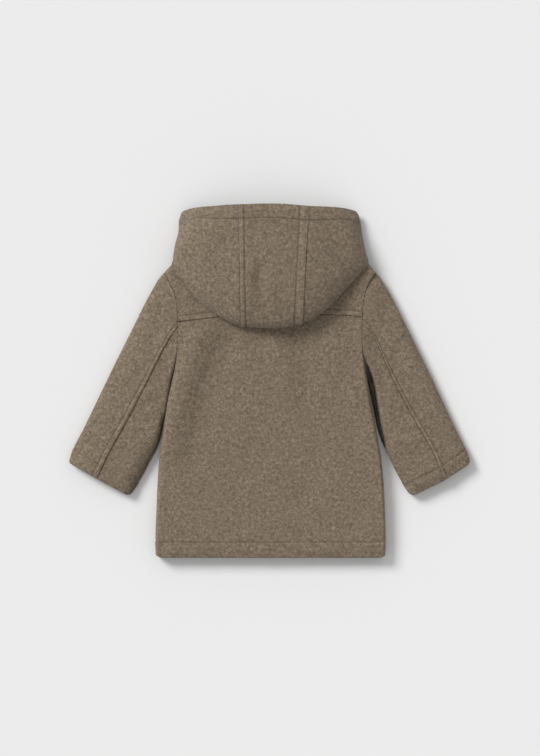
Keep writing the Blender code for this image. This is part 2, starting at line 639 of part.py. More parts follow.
def main():
    for old in list(bpy.data.objects):
        bpy.data.objects.remove(old)
    make_back()
    make_yoke()
    for side in ("left", "right"):
        make_front(side)
        make_sleeve(side)
    make_hood()
    outer = np.concatenate([points.reshape(-1, 3) for _, points, _, _, _ in PIECES])
    middle = (outer.min(0) + outer.max(0)) / 2
    middle[2] = outer[:, 2].min()
    coat = bpy.data.collections.new("hooded_coat")
    bpy.context.scene.collection.children.link(coat)
    for name, points, colour, turned, flip in PIECES:
        build_piece(name, points - middle, colour, turned, flip, coat)


main()
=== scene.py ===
"""Looks of a small child's hooded duffle coat of heathered wool, laid flat on its front.

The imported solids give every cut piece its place. Here each piece is made again as a fine closed
shell of cloth on the same form, with its creases, rounded edges, topstitching and wool surface.
Tables and shape functions work in millimetres in the laid-out coat's own frame: x towards the
wearer's right sleeve, y from the hem towards the hood, z up from the surface under the coat.
"""

import bmesh
import bpy
import numpy as np
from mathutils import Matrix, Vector


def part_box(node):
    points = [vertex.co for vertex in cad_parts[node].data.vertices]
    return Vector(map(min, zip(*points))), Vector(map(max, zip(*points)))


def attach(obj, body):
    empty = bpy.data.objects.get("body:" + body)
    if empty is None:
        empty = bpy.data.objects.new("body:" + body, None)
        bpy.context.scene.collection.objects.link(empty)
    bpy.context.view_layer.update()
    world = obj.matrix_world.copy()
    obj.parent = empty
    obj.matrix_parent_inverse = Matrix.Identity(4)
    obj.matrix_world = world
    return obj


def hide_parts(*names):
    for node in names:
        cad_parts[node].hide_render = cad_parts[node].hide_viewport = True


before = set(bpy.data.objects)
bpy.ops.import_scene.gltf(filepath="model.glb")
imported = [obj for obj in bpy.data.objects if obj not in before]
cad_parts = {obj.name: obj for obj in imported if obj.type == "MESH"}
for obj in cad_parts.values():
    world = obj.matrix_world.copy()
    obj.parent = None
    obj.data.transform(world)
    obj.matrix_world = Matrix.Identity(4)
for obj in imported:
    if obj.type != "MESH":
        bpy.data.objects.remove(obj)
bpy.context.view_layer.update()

# Cloth, in millimetres
CLOTH = 2.8  # wall of the wool cloth
TURNED_CLOTH = 3.8  # wall where a hem, cuff or face edge is turned up
TURN_UP = 20.0  # depth of those turned edges
TURN_FADE = 3.0  # over which the turned-up layer thins out
SEAM_GAP = 0.04  # between two pieces along a seam
LAP = 20.0  # how far each front reaches past the centre
RAISED = 1.3  # how far a topstitched piece stands over its neighbour
RAISED_WIDTH = 22.0  # how far from the seam that fades out
EDGE_ROUND = {  # radius of a sewn edge on its outer and its inner face
    "seam": (0.9, 0.4),  # plain seam, both sides alike
    "raised": (1.1, 0.4),  # the topstitched side, which stands over its neighbour
    "tucked": (0.25, 0.25),  # the neighbour, which runs in under it
}
SIDES = ("left", "right")

# The laid coat, in millimetres
FOLD_SHARE = 0.485  # height of a side fold, as a share of the coat's height there
BODY_ROLL = {"left": 7.0, "right": 4.0}  # reach of the rounding beside a fold on the upper layer
ARM_TOP_ROLL = 15.0  # the same on a sleeve's upper layer
OUTER_ROLL = {"left": 1.6, "right": 0.0}  # how much wider that is beside the outer fold
ROLL_UNDER = 10.0  # the same on the layer that lies on the surface
SEAM_ROLL = 36.0  # reach over which an armhole opens from its ends
HOOD_REST = 22.8  # underside of the hood where it lies on the yoke
HOOD_ROLL_UNDER = 15.0
LAP_STEP = (34.0, 56.0)  # x where the right front starts to sink to the surface, and reaches it
HEM_STEP = (26.0, 38.0)  # y over which its extra rise over the other front's hem fades out
ARM_BLEND = 0.22  # share of a sleeve's length over which it leaves the armhole's height
ARM_ROLL = (1.2, 0.3)  # wider rounding beside its fold at the armhole, and where that ends
CUFF_ROLL = {"left": 0.75, "right": 0.9}  # the same towards the cuff on the inner side
CUFF_ROLL_SPAN = (0.4, 0.8)  # shares of the length where that starts and is full
CUFF_ROUND = {  # radius of a cuff's corners in plan
    "left": {"upper": 2.5, "under": 7.0},
    "right": {"upper": 5.0, "under": 8.0},
}
CUFF_REACH = 0.12  # share of a sleeve's length that they draw in
LEDGE_HEIGHT = 3.4  # of the low ledge of cloth that a sleeve pushes against the body
LEDGE_RISE = 3.6  # width over which the sleeve rises from it
ARM_STEP = 0.1  # share of a sleeve's length over which its raised seam rises
ARM_SPACING = 1.7  # power that spreads the armhole's stations over a sleeve's width
HOOD_RISE = 3  # power of the hood's rise from where it rests up to its neck edge
HOOD_LANDING = (6.3, 7.6)  # stations between which the hood's underside comes to lie on the yoke
HOOD_OVERHANG = (-22.0, 4.0)  # the same across the shoulder line, in distance inside that line
HOOD_CROWN_FALL = 2.4  # power of the crown's fall towards the face edge
HOOD_LAP_REACH = 18.0  # reach of the lap's step on the hood's front end
HOOD_LAP_END = 3  # station where that step ends
NECK_GAP = 1.3 * SEAM_GAP  # how far the hood's lower edge stands in from a front's neckline
PARTED_SHARE = 0.3  # share of a rounding up to which the layers at a fold stand apart


def table(columns, *rows):
    """A short table: named columns, one row for each section."""
    return dict(zip(columns.split(), np.array(rows, float).T))


# Side edges of the body, hem to shoulder tip; from the underarm up they are the armhole seams.
BODY_EDGE = table(
    "y left right",
    (2.5, -155.2, 155.2), (8, -156.8, 156.8), (79, -154.5, 155), (133, -151.5, 150.8),
    (165, -147, 145.2), (215, -139.6, 136.2), (254, -131.4, 130), (283, -127, 125), (326, -126, 124.5),
    (358, -129.5, 128), (372, -136, 133.5), (388, -144.5, 143),
)
# Stations along a side edge: 0 hem, 1 underarm, 2 yoke seam, 3 shoulder tip.
SIDE_MARKS = {"left": (2.5, 254, 321, 388), "right": (2.5, 254, 327.5, 388)}
ARM_UNDER = (1, 1.04, 1.14, 1.3, 1.5, 1.7, 1.88)
ARM_UPPER = (1.88, 2, 2.3, 2.55, 2.75, 2.88, 2.96, 3)
BACK_SEAM = 1.88  # where the sleeve's back seam meets the armhole
FRONT_SEAM = 1.5  # where its front seam does
HEM = table("x y", (-155.2, 2.5), (-149, 0.2), (-60, 0), (60, 0), (149, 0.2), (155.2, 2.5))
YOKE_SEAM = table("x y", (-126, 321), (-98, 324.6), (-60, 328.5), (0, 330), (66, 331), (100, 330),
                  (124.5, 327.5))
SHOULDER = {
    "left": table("x y", (-144.5, 388), (-138.6, 394.2), (-132, 400.6), (-100, 412), (-66, 424)),
    "right": table("x y", (143, 388), (138, 394.4), (132, 400.6), (100, 412), (66, 424)),
}
BACK_NECK = table("x y", (-66, 424), (-40, 414.5), (0, 409), (40, 414.5), (66, 424))
FRONT_NECK = table("x y", (66, 424), (63.5, 411), (56, 397), (42, 384), (24, 374), (1.5, 370), (-20, 371.5))
NECK_SHARES = (0, 0.14, 0.3, 0.47, 0.64, 0.815, 1)  # columns along it; the hood ends at the last but one
SHOULDER_SHARE = 0.48  # share of a front's top edge that is shoulder
BACK_SHOULDER_SHARE = 0.275  # share of the yoke's top edge that is one shoulder
HEM_CORNER = 0.04  # share of a front's hem in its rounded corner
# Height of the body's upper face along the coat.
BODY_HEIGHT = table("y top", (0, 17.4), (4, 18.8), (14, 19.9), (45, 20.7), (150, 21.4), (330, 21.4),
                    (424, 20.5))

# Sleeves: outer and inner fold in plan, shoulder or underarm to cuff, and the back and front seams.
OUTER_FOLD = {
    "left": ((-144.5, 388), (-151, 380.5), (-155.9, 372.6), (-168, 351), (-189.7, 307.4), (-211.5, 263.8),
             (-253.6, 176.8), (-270, 144.2), (-274.6, 129.5)),
    "right": ((143, 388), (149.5, 380.5), (154.4, 372.6), (166.6, 351), (188.4, 307.4), (210, 263.8),
              (251, 176.8), (267.2, 143.6), (272.8, 129)),
}
INNER_FOLD = {
    "left": ((-131.7, 254), (-136.4, 235), (-140.7, 214), (-144.6, 190), (-148.3, 169), (-153.2, 152),
             (-164, 130.6), (-174.8, 110), (-191.6, 83)),
    "right": ((130.3, 254), (133.7, 238), (137.2, 219), (141.8, 194.5), (146.4, 174), (151.8, 157.8),
              (159.8, 140), (169.3, 119.7), (190.9, 82.6)),
}
SLEEVE_BACK_SEAM = {
    "left": ((-126.4, 313), (-138.6, 296.5), (-166.5, 242), (-194.5, 187.7), (-220, 141.4), (-236.5, 107)),
    "right": ((124.9, 318.7), (131, 313.5), (137.5, 305.5), (145, 291), (167, 242), (197, 185),
              (218.3, 148.2), (236.8, 105)),
}
SLEEVE_FRONT_SEAM = {
    "left": ((-128, 287.5), (-160, 250), (-205, 165), (-232, 105)),
    "right": ((127, 289.5), (160, 250), (204, 165), (231.4, 103.4)),
}
LEDGE = {  # its width up the coat, measured from the sleeve's inner fold and armhole
    "left": table("y width", (130, 0), (150, 2), (180, 1.8), (200, 0), (254, 0)),
    "right": table("y width", (144, 0), (152, 2), (164, 5), (182, 6), (208, 7.8), (224, 7.8), (240, 7.2),
                   (252, 6), (266, 4), (286, 0)),
}
SLEEVE = table("along top fold", (0, 19.5, 8.6), (0.3, 18.5, 8), (0.85, 17, 7.4), (0.98, 15.6, 7),
               (1, 14.6, 6.8))

INNER_HEIGHT = {  # of the inner fold
    "left": table("along height", (0, 15), (0.26, 14.5), (0.46, 8), (0.6, 6), (0.8, 4), (1, 4)),
    "right": table("along height", (0, 8.6), (0.4, 8), (0.8, 6.6), (1, 6.6)),
}

# Hood, by stations from the centre front (0) past the neck point (5) and the mouth's corner (6) to
# the centre back (12). face: its face edge. rim: where it folds over, its outline. crown: the top of
# its upper layer. x counts outwards from the middle. Rows that both sides share stand by themselves.
CENTRE_BACK = 12.0
NECK_POINT = 5
HOOD_COLUMNS = "station face_x face_y rim_x rim_y"
HOOD_FRONT = (
    (0, 1.5, 391, 1.5, 381), (1, 15, 400.5, 18.5, 388), (2, 28, 410, 33, 398), (3, 41, 419, 46, 407),
    (4, 55, 429, 58.5, 419.5), (5, 73, 441, 69.5, 433),
)
HOOD_PLAN = {
    "left": table(
        HOOD_COLUMNS, *HOOD_FRONT,
        (5.6, 99, 455.5, 94, 447), (6, 119.5, 466.5, 123.2, 461), (6.4, 121.3, 470, 124.6, 454),
        (7, 116, 473.4, 125.2, 444), (8, 104, 476.6, 130.2, 424), (9, 88, 478.6, 132.8, 401.5),
        (10, 70, 479.8, 109, 363.5), (10.5, 58, 480.4, 76, 332.2), (11, 43.7, 480.8, 40.5, 315.4),
        (12, -2, 482, -2, 313.4),
    ),
    "right": table(
        HOOD_COLUMNS, *HOOD_FRONT,
        (5.6, 98, 455.5, 93, 447), (6, 117, 466.5, 120.6, 461), (6.4, 118.4, 470, 122.4, 454),
        (7, 112.5, 473.4, 124.4, 442.5), (8, 101, 476, 128.4, 421), (9, 88, 477.4, 131.8, 403),
        (10, 72, 478, 104, 368), (10.5, 63, 478.2, 76, 338), (11, 52.2, 478.6, 43.8, 319.5),
        (12, 2, 482, 2, 313.4),
    ),
}
HOOD_LYING = ((0, 0, 0, 0), (5, 0, 0, 0), (5.6, 1, 1.5, 0.5))
HOOD_HEIGHT = {
    "left": table(
        "station face crown rim", *HOOD_LYING,
        (6, 6.5, 8.5, 4.5), (6.4, 12, 15, 6.5), (7, 15.5, 21.5, 8), (8, 20, 32, 10.5), (9, 25, 42, 20),
        (10, 31.5, 49.5, 24), (11, 36, 54.5, 30), (12, 37, 55.5, 36),
    ),
    "right": table(
        "station face crown rim", *HOOD_LYING,
        (6, 5.5, 7, 3.5), (6.4, 10, 12.5, 5), (7, 13.5, 17, 6.5), (8, 19, 24.5, 8), (9, 25, 34, 18),
        (10, 31.5, 45, 27), (11, 36, 54, 37.5), (12, 37, 55.5, 36),
    ),
}
HOOD_ROLL = {  # reach of the rounding from the rim up to the crown
    "left": table("station roll", (0, 80), (10, 80), (11, 74), (12, 62)),
    "right": table("station roll", (0, 44), (6.4, 44), (7, 50), (10, 50), (11, 54), (12, 62)),
}
HOOD_NECK = dict.fromkeys(SIDES, table(
    "station x y z",
    (5, 65.6, 424.6, 0), (5.6, 65.9, 425, 3), (6, 66.1, 425.3, 6), (6.4, 66.2, 425.6, 9),
    (7, 66.2, 426, 13.5), (8, 63, 425.8, 19), (9, 53, 419.8, 22), (10, 41, 415.4, 22),
    (11, 25, 411.8, 22), (12, 0, 409.6, 22),
))


def smooth(at, knots, values):
    """Cubic curve through a table's rows that never overshoots them: at each row its slope is the
    harmonic mean of the slopes on either side, or level where they differ in sign."""
    at, knots, values = (np.asarray(part, float) for part in (at, knots, values))
    secant = np.diff(values) / np.diff(knots)
    product = secant[:-1] * secant[1:]
    total = np.where(product > 0, secant[:-1] + secant[1:], 1)
    between = np.where(product > 0, 2 * product / total, 0)
    slope = np.concatenate([secant[:1], between, secant[-1:]])
    row = np.clip(np.searchsorted(knots, at) - 1, 0, len(knots) - 2)
    span = knots[row + 1] - knots[row]
    q = np.clip((at - knots[row]) / span, 0, 1)
    start = (1 + 2 * q) * (1 - q) ** 2 * values[row] + q * (1 - q) ** 2 * span * slope[row]
    end = q * q * (3 - 2 * q) * values[row + 1] - q * q * (1 - q) * span * slope[row + 1]
    return start + end


def ease(at, start=0.0, end=1.0):
    """Soft step from 0 at `start` to 1 at `end`."""
    q = np.clip((at - start) / (end - start), 0, 1)
    return q * q * (3 - 2 * q)


def mix(low, high, share):
    """Straight from `low` at share 0 to `high` at share 1."""
    return low + (high - low) * share


def look_up(rows, column, at):
    """Smooth curve through one column of a table, along the table's first column."""
    return smooth(at, next(iter(rows.values())), rows[column])


def unit(vectors):
    """Vectors divided by their own length."""
    return vectors / np.maximum(np.linalg.norm(vectors, axis=-1, keepdims=True), 1e-9)


def run_length(points):
    """Length along each line of points: the sum of its steps, from 0 at the first row."""
    steps = np.linalg.norm(np.diff(points, axis=0), axis=-1)
    return np.concatenate([0 * steps[:1], np.cumsum(steps, axis=0)])


def standing(plan, z):
    """Points over a plan at the given heights."""
    return np.concatenate([plan, z[..., None]], -1)


def swell(distance, reach, start=0.0):
    """Quarter ellipse from `start` at distance 0 up to 1 at `reach`: the rounding beside a fold."""
    foot = np.sqrt(1 - np.clip(start, 0, 1) ** 2)
    return np.sqrt(1 - np.clip(foot - distance / reach, 0, 1) ** 2)


def curve(points):
    """Plan curve through points, as a function of the share of its length from 0 to 1."""
    points = np.asarray(points, float)
    length = run_length(points)
    share = length / length[-1]
    return lambda at: np.stack([smooth(at, share, points[:, axis]) for axis in (0, 1)], -1)


def table_curve(rows):
    """The same through a table's x and y."""
    return curve(np.stack([rows["x"], rows["y"]], -1))


def coons(low, high, first, last, u, v):
    """Plan patch between four edges, low and high along u, first and last along v: the two ruled
    surfaces between facing edges, less the one between the corners."""
    u, v = u[..., None], v[..., None]
    corners = mix(mix(low[:, :1], low[:, -1:], u), mix(high[:, :1], high[:, -1:], u), v)
    return mix(low, high, v) + mix(first, last, u) - corners


def distance(plan, edge):
    """Straight distance in plan."""
    return np.linalg.norm(plan - edge, axis=-1)


# ---- grids of a piece ----

STEP = 2.1  # spacing of the grid over cloth that shows
STEP_HIDDEN = 3.6  # the same on pieces that lie underneath
DRAWN_ROW = 6  # grid line whose direction from a border counts as inwards
DRAWN_FADE = 4.0  # reach over which a border that is drawn in fades out
ROOM = 0.9  # share of a short row that its set distances may fill
STITCH_STEP = 0.55  # spacing of the grid beside a stitched line


def turn_lines(reach, steps=13):
    """Distances from a fold at even turns of the cloth: reach times one less the cosine of the turn."""
    return reach * (1 - np.cos(np.linspace(0, np.pi / 2, steps)))


EDGE_LINES = turn_lines(TURNED_CLOTH / 2, 6)
SEAM_LINES = turn_lines(EDGE_ROUND["raised"][0], 5)


def sewn_lines(edge, stitched):
    """An edge's set distances, and some close together for a few millimetres either side of its
    stitched line."""
    return np.concatenate([edge, stitched + np.arange(-5, 6) * STITCH_STEP])


def spread(length, step, near, far):
    """Shares of each row's length at which its columns stand: set distances from both ends, and even
    steps between them. Where a row is short, the set distances shrink with it."""
    length = np.atleast_1d(np.asarray(length, float))[:, None]
    near = np.sort(near)[None]
    far = np.sort(far)[None]
    squeeze = np.minimum(1, ROOM * length / (near.max() + far.max()))
    start = near * squeeze / length
    end = 1 - far[:, ::-1] * squeeze / length
    count = max(2, int(round((length.max() - near.max() - far.max()) / step)))
    between = np.linspace(0, 1, count + 1)[1:-1]
    middle = start[:, -1:] + (end[:, :1] - start[:, -1:]) * between
    return np.concatenate([start, middle, end], axis=1)


def turned_to(grid, border):
    """View of a grid with the named border as its first row: low and high are its first and last
    rows, first and last its first and last columns."""
    if border in ("first", "last"):
        grid = grid.swapaxes(0, 1)
    return grid[::-1] if border in ("high", "last") else grid


def inwards(points, border):
    """Length along the cloth from a border to every point of the grid."""
    away = run_length(turned_to(points, border))
    away = away[::-1] if border in ("high", "last") else away
    return away.swapaxes(0, 1) if border in ("first", "last") else away


def drawn_in(points, border):
    """Moves a border inwards by half the seam's gap, along the cloth, with an exponential fade."""
    turned = turned_to(points, border)
    fade = np.exp(-run_length(turned) / DRAWN_FADE)[..., None]
    turned += unit(turned[DRAWN_ROW] - turned[0])[None] * SEAM_GAP / 2 * fade


def normals(points, flip):
    """Unit normals of the outer face: the cross product of the grid's two directions."""
    across = unit(np.cross(np.gradient(points, axis=1), np.gradient(points, axis=0)))
    return -across if flip else across


# ---- shapes of the pieces ----

def sign(side):
    """Which way a side lies along x."""
    return -1 if side == "left" else 1


def body_height(y):
    """Height of the body's upper face."""
    return look_up(BODY_HEIGHT, "top", y)


def fold_height(y):
    """Height of the body's side folds: a set share of its upper face's height."""
    return FOLD_SHARE * body_height(y)


def body_layer(y, share):
    """Height of the upper layer at a share of the way from the side folds' height to its full one."""
    return mix(fold_height(y), body_height(y), share)


def side_y(side, station):
    """How far up the coat a station on its side edge lies."""
    return np.interp(station, range(4), SIDE_MARKS[side])


def side_edge(side, station, inset=0.0):
    """Plan points of the body's side edge, moved towards the coat's middle by `inset`."""
    y = side_y(side, station)
    return np.stack([look_up(BODY_EDGE, side, y) - sign(side) * inset, y], -1)


def opened(side, station):
    """How far the armhole stands open: 0 at underarm and shoulder tip, 1 between them."""
    y = side_y(side, station)
    _, underarm, _, tip = SIDE_MARKS[side]
    return swell(np.clip(np.minimum(y - underarm, tip - y), 0, None), SEAM_ROLL)


def parted(z, share, towards):
    """Opens half the seam's gap along a fold, where the share of the rounding is still near nothing."""
    return z + towards * SEAM_GAP / 2 * np.clip(1 - share / PARTED_SHARE, 0, 1)


def lap_rise(plan):
    """The right front steps up over the left one where they lap, and a little more over its hem."""
    hem_extra = (TURNED_CLOTH - CLOTH) * (1 - ease(plan[..., 1], *HEM_STEP))
    return (CLOTH + SEAM_GAP + hem_extra) * (1 - ease(plan[..., 0], *LAP_STEP))


def climb(station, u):
    """Share of the way up a piece at each point of its grid."""
    return ((station - station[0]) / (station[-1] - station[0]))[:, None] + 0 * u


def neck_open(plan, reach):
    """How far a shoulder edge (last row) stands open: 0 on the shoulder, a quarter ellipse up to 1
    past the neck point."""
    return swell(np.clip(BACK_NECK["x"][-1] - np.abs(plan[-1:, :, 0]), 0, None), reach)


def back_sheet(station, u, low, high, shoulders):
    """Upper layer of the body between two cross lines: a Coons patch in plan, and in height a quarter
    ellipse up from each side fold, which the armholes hold open."""
    v = climb(station, u)
    along = v[:, :1, None]
    gap = np.array((0, SEAM_GAP / 2))
    if shoulders:
        low_edge, high_edge, shift = low(u) + gap, high(u), gap * (1 - along)
    else:
        low_edge, high_edge, shift = low(u), high(u) - gap, -gap * along
    first, last = (side_edge(side, station, SEAM_GAP / 2)[:, None] + shift for side in SIDES)
    plan = coons(low_edge, high_edge, first, last, u, v)
    share = 1.0
    for side, edge in zip(SIDES, (plan[:, :1], plan[:, -1:])):
        share = share * swell(distance(plan, edge), BODY_ROLL[side], opened(side, station)[:, None])
    if shoulders:
        neck = swell(distance(plan, plan[-1:]), BODY_ROLL["left"], neck_open(plan, SEAM_ROLL))
        share = np.minimum(share, neck)
    return standing(plan, parted(body_layer(plan[..., 1], share), share, 1))


def shoulder_line(u):
    """Left shoulder, back neck and right shoulder as one edge; the neck points lie at set shares."""
    share = BACK_SHOULDER_SHARE
    rise = table_curve(SHOULDER["left"])(u / share)
    neck = table_curve(BACK_NECK)((u - share) / (1 - 2 * share))
    fall = table_curve(SHOULDER["right"])((1 - u) / share)
    edge = np.where((u < share)[..., None], rise, neck)
    return np.where((u > 1 - share)[..., None], fall, edge)


def front_neck(side):
    """Neckline of one front, from the shoulder to its lapping edge, by shares of its length."""
    s = sign(side)
    return curve(np.stack([s * FRONT_NECK["x"], FRONT_NECK["y"]], -1))


def front_sheet(side, station, u):
    """One front on the lower layer: a Coons patch, flat on the surface, and a quarter ellipse up to
    the side and shoulder folds."""
    s = sign(side)
    v = climb(station, u)
    low = np.stack([mix(s * HEM["x"][-1], -s * LAP, u), HEM["y"][-1] * (1 - ease(u, 0, HEM_CORNER))], -1)
    shoulder = table_curve(SHOULDER[side])(u / SHOULDER_SHARE)
    neck = front_neck(side)((u - SHOULDER_SHARE) / (1 - SHOULDER_SHARE))
    high = np.where((u < SHOULDER_SHARE)[..., None], shoulder, neck)
    first = side_edge(side, station, SEAM_GAP / 2)[:, None]
    centre = np.stack([0 * station - s * LAP, FRONT_NECK["y"][-1] * v[:, 0]], -1)[:, None]
    plan = coons(low, high, first, centre, u, v)
    share = swell(distance(plan, plan[:, :1]), ROLL_UNDER, opened(side, station)[:, None])
    share = np.minimum(share, swell(distance(plan, plan[-1:]), ROLL_UNDER, neck_open(plan, ROLL_UNDER)))
    z = parted(fold_height(plan[..., 1]) * (1 - share), share, -1)
    if side == "right":
        z = z + lap_rise(plan)
    return standing(plan, z)


def armhole_station(half, top, u):
    """Station on the armhole at a share of a sleeve layer's width: a power law along the marks."""
    marks = ARM_UNDER + ARM_UPPER[1:]
    seam = BACK_SEAM if top else FRONT_SEAM
    if half == "upper":
        marks = [q for q in marks if q >= seam]
    else:
        marks = [q for q in marks[::-1] if q <= seam]
    return np.interp(u, 1 - (1 - np.linspace(0, 1, len(marks))) ** ARM_SPACING, marks)


def in_ledge(side, plan):
    """1 on the low ledge beside the body, 0 where the sleeve has risen from it. Its width is measured
    square to the nearer of the inner fold (last column) and the armhole (first row)."""
    border = np.concatenate([plan[0], plan[:, -1]])
    off = distance(plan[:, :, None], border).min(-1)
    width = look_up(LEDGE[side], "width", plan[..., 1])
    return ease(width, 0, 2) * (1 - ease(off - width, -LEDGE_RISE / 2, LEDGE_RISE / 2))


def sleeve_layer(side, half, top, v, u, seam, fold):
    """Half of a sleeve's upper or lower layer, from a seam (first column) to a fold (last column): a
    Coons patch in plan with a rounded corner at the cuff, and in height a quarter ellipse up from the
    fold, mixed near the armhole with that one's height."""
    inner = half == "under"
    station = armhole_station(half, top, u)
    armhole = side_edge(side, station, -SEAM_GAP / 2)
    v = v[:, None] + 0 * u
    cuff = mix(seam(1.0), fold(1.0), u[..., None])
    first, last = (line(v[:, :1]) + (end - line(0.0)) * (1 - v[:, :1, None])
                   for line, end in ((seam, armhole[:1, :1]), (fold, armhole[:1, -1:])))
    plan = coons(armhole, cuff, first, last, u, v)
    drawn = quarter(distance(plan[-1:], plan[-1:, -1:]), CUFF_ROUND[side][half])
    back_up = unit(fold(1 - CUFF_REACH) - fold(1.0))
    plan = plan + back_up * (drawn * ease(v, 1 - CUFF_REACH, 1))[..., None]
    middle = look_up(INNER_HEIGHT[side], "height", v) if inner else look_up(SLEEVE, "fold", v)
    reach = (ARM_TOP_ROLL if top else ROLL_UNDER) * (1 + ARM_ROLL[0] * (1 - ease(v, 0, ARM_ROLL[1])))
    if top and inner:
        reach = reach * (1 + CUFF_ROLL[side] * ease(v, *CUFF_ROLL_SPAN))
    elif top:
        reach = reach * (1 + OUTER_ROLL[side] * ease(v, 0, ARM_BLEND))
    share = swell(distance(plan, plan[:, -1:]), reach)
    if inner:
        ledge = in_ledge(side, plan)
        middle = mix(middle, LEDGE_HEIGHT, ledge[:, -1:])
        share = share * (1 - ledge * top)
    y, opening = side_y(side, station), opened(side, station)
    if top:
        z, z_arm = mix(middle, look_up(SLEEVE, "top", v), share), body_layer(y, opening)
    else:
        z, z_arm = middle * (1 - share), fold_height(y) * (1 - opening)
    return standing(plan, mix(z_arm, z, ease(v, 0, ARM_BLEND)))


def hood_column(station, sides, column):
    """One column of the hood's tables the whole way round: the left side's stations, then the right
    side's back to the front. Along x they count outwards from the middle."""
    left, right = (sides[side] for side in SIDES)
    mirror = -1 if column.endswith("x") else 1
    knots = np.concatenate([left["station"], 2 * CENTRE_BACK - right["station"][-2::-1]])
    return smooth(station, knots, np.concatenate([mirror * left[column], right[column][-2::-1]]))


def inside_shoulder(plan):
    """Distance in plan inside the line of the shoulder, on either side of the coat."""
    slope = np.stack([SHOULDER["right"]["x"], SHOULDER["right"]["y"]], -1)
    point = slope[2]
    along = unit(slope[-1] - point)
    return (plan[..., 1] - point[1]) * along[0] - (np.abs(plan[..., 0]) - point[0]) * along[1]


def to_front(station):
    """Stations to the centre front, the shorter way round."""
    return CENTRE_BACK - np.abs(CENTRE_BACK - station)


def hood_neck(station):
    """The hood's lower edge: beside each front's neckline on the surface, then over the back neck."""
    away = to_front(station)
    front = []
    for side in SIDES:
        corners = front_neck(side)(np.array(NECK_SHARES[-2::-1]))
        corners += NECK_GAP * unit(np.array((0, BACK_NECK["y"][0])) - corners)
        front.append(np.stack([np.interp(away, range(len(corners)), line) for line in corners.T], -1))
    on_front = away < NECK_POINT
    back = np.stack([hood_column(station, HOOD_NECK, axis) for axis in "xy"], -1)
    plan = np.where(on_front[..., None], np.where((station <= CENTRE_BACK)[..., None], *front), back)
    return plan, np.where(on_front, 0, hood_column(station, HOOD_NECK, "z"))


def hood_lines(station):
    """Face edge, rim and neck edge of the hood in plan at each station, and the neck edge's height."""
    face, rim = (np.stack([hood_column(station, HOOD_PLAN, line + axis) for axis in ("_x", "_y")], -1)
                 for line in ("face", "rim"))
    return (face, rim, *hood_neck(station))


def hood_sheet(station, up, down, raised):
    """Hood cloth as a net: one row per station, from the face edge over the rim and back to the neck.
    Both layers rise or fall from the rim as quarter ellipses."""
    face, rim, neck, neck_z = hood_lines(station)
    face, rim, neck = face[:, None], rim[:, None], neck[:, None]
    rim = rim + raised * unit(rim - neck)
    face_z, crown_z, rim_z = (hood_column(station, HOOD_HEIGHT, name)[:, None]
                              for name in ("face", "crown", "rim"))
    over = mix(rim, face, up[..., None])
    crown = mix(crown_z, face_z, up ** HOOD_CROWN_FALL)
    roll = hood_column(station, HOOD_ROLL, "roll")[:, None]
    over_z = mix(rim_z, crown + raised, swell(distance(over, rim), roll))
    under = mix(rim, neck, down[..., None])
    away = to_front(station)[:, None]
    rest = HOOD_REST * ease(away, *HOOD_LANDING) * ease(inside_shoulder(under), *HOOD_OVERHANG)
    rest = mix(rest, neck_z[:, None], down ** HOOD_RISE)
    under_z = mix(rim_z, rest, swell(distance(under, rim), HOOD_ROLL_UNDER))
    points = np.concatenate([over, under], axis=1)
    z = np.maximum(np.concatenate([over_z, under_z], axis=1), 0)
    stepped = lap_rise(neck) * (1 - ease(distance(points, neck), 0, HOOD_LAP_REACH))
    return standing(points, z + stepped * ((station[:, None] > CENTRE_BACK) & (away < HOOD_LAP_END)))


# ---- relief of the cloth ----

STITCH_DENT = (0.8, 1.15)  # depth and half width of the groove that a stitched line draws
SEAM_PUFF = 0.6  # rise of the doubled cloth between a seam and its stitched line
WAVES = 22  # sines in one size of unevenness
UNEVEN = ((0.3, 56.0), (0.09, 21.0), (0.05, 7.5))  # height and length of each size

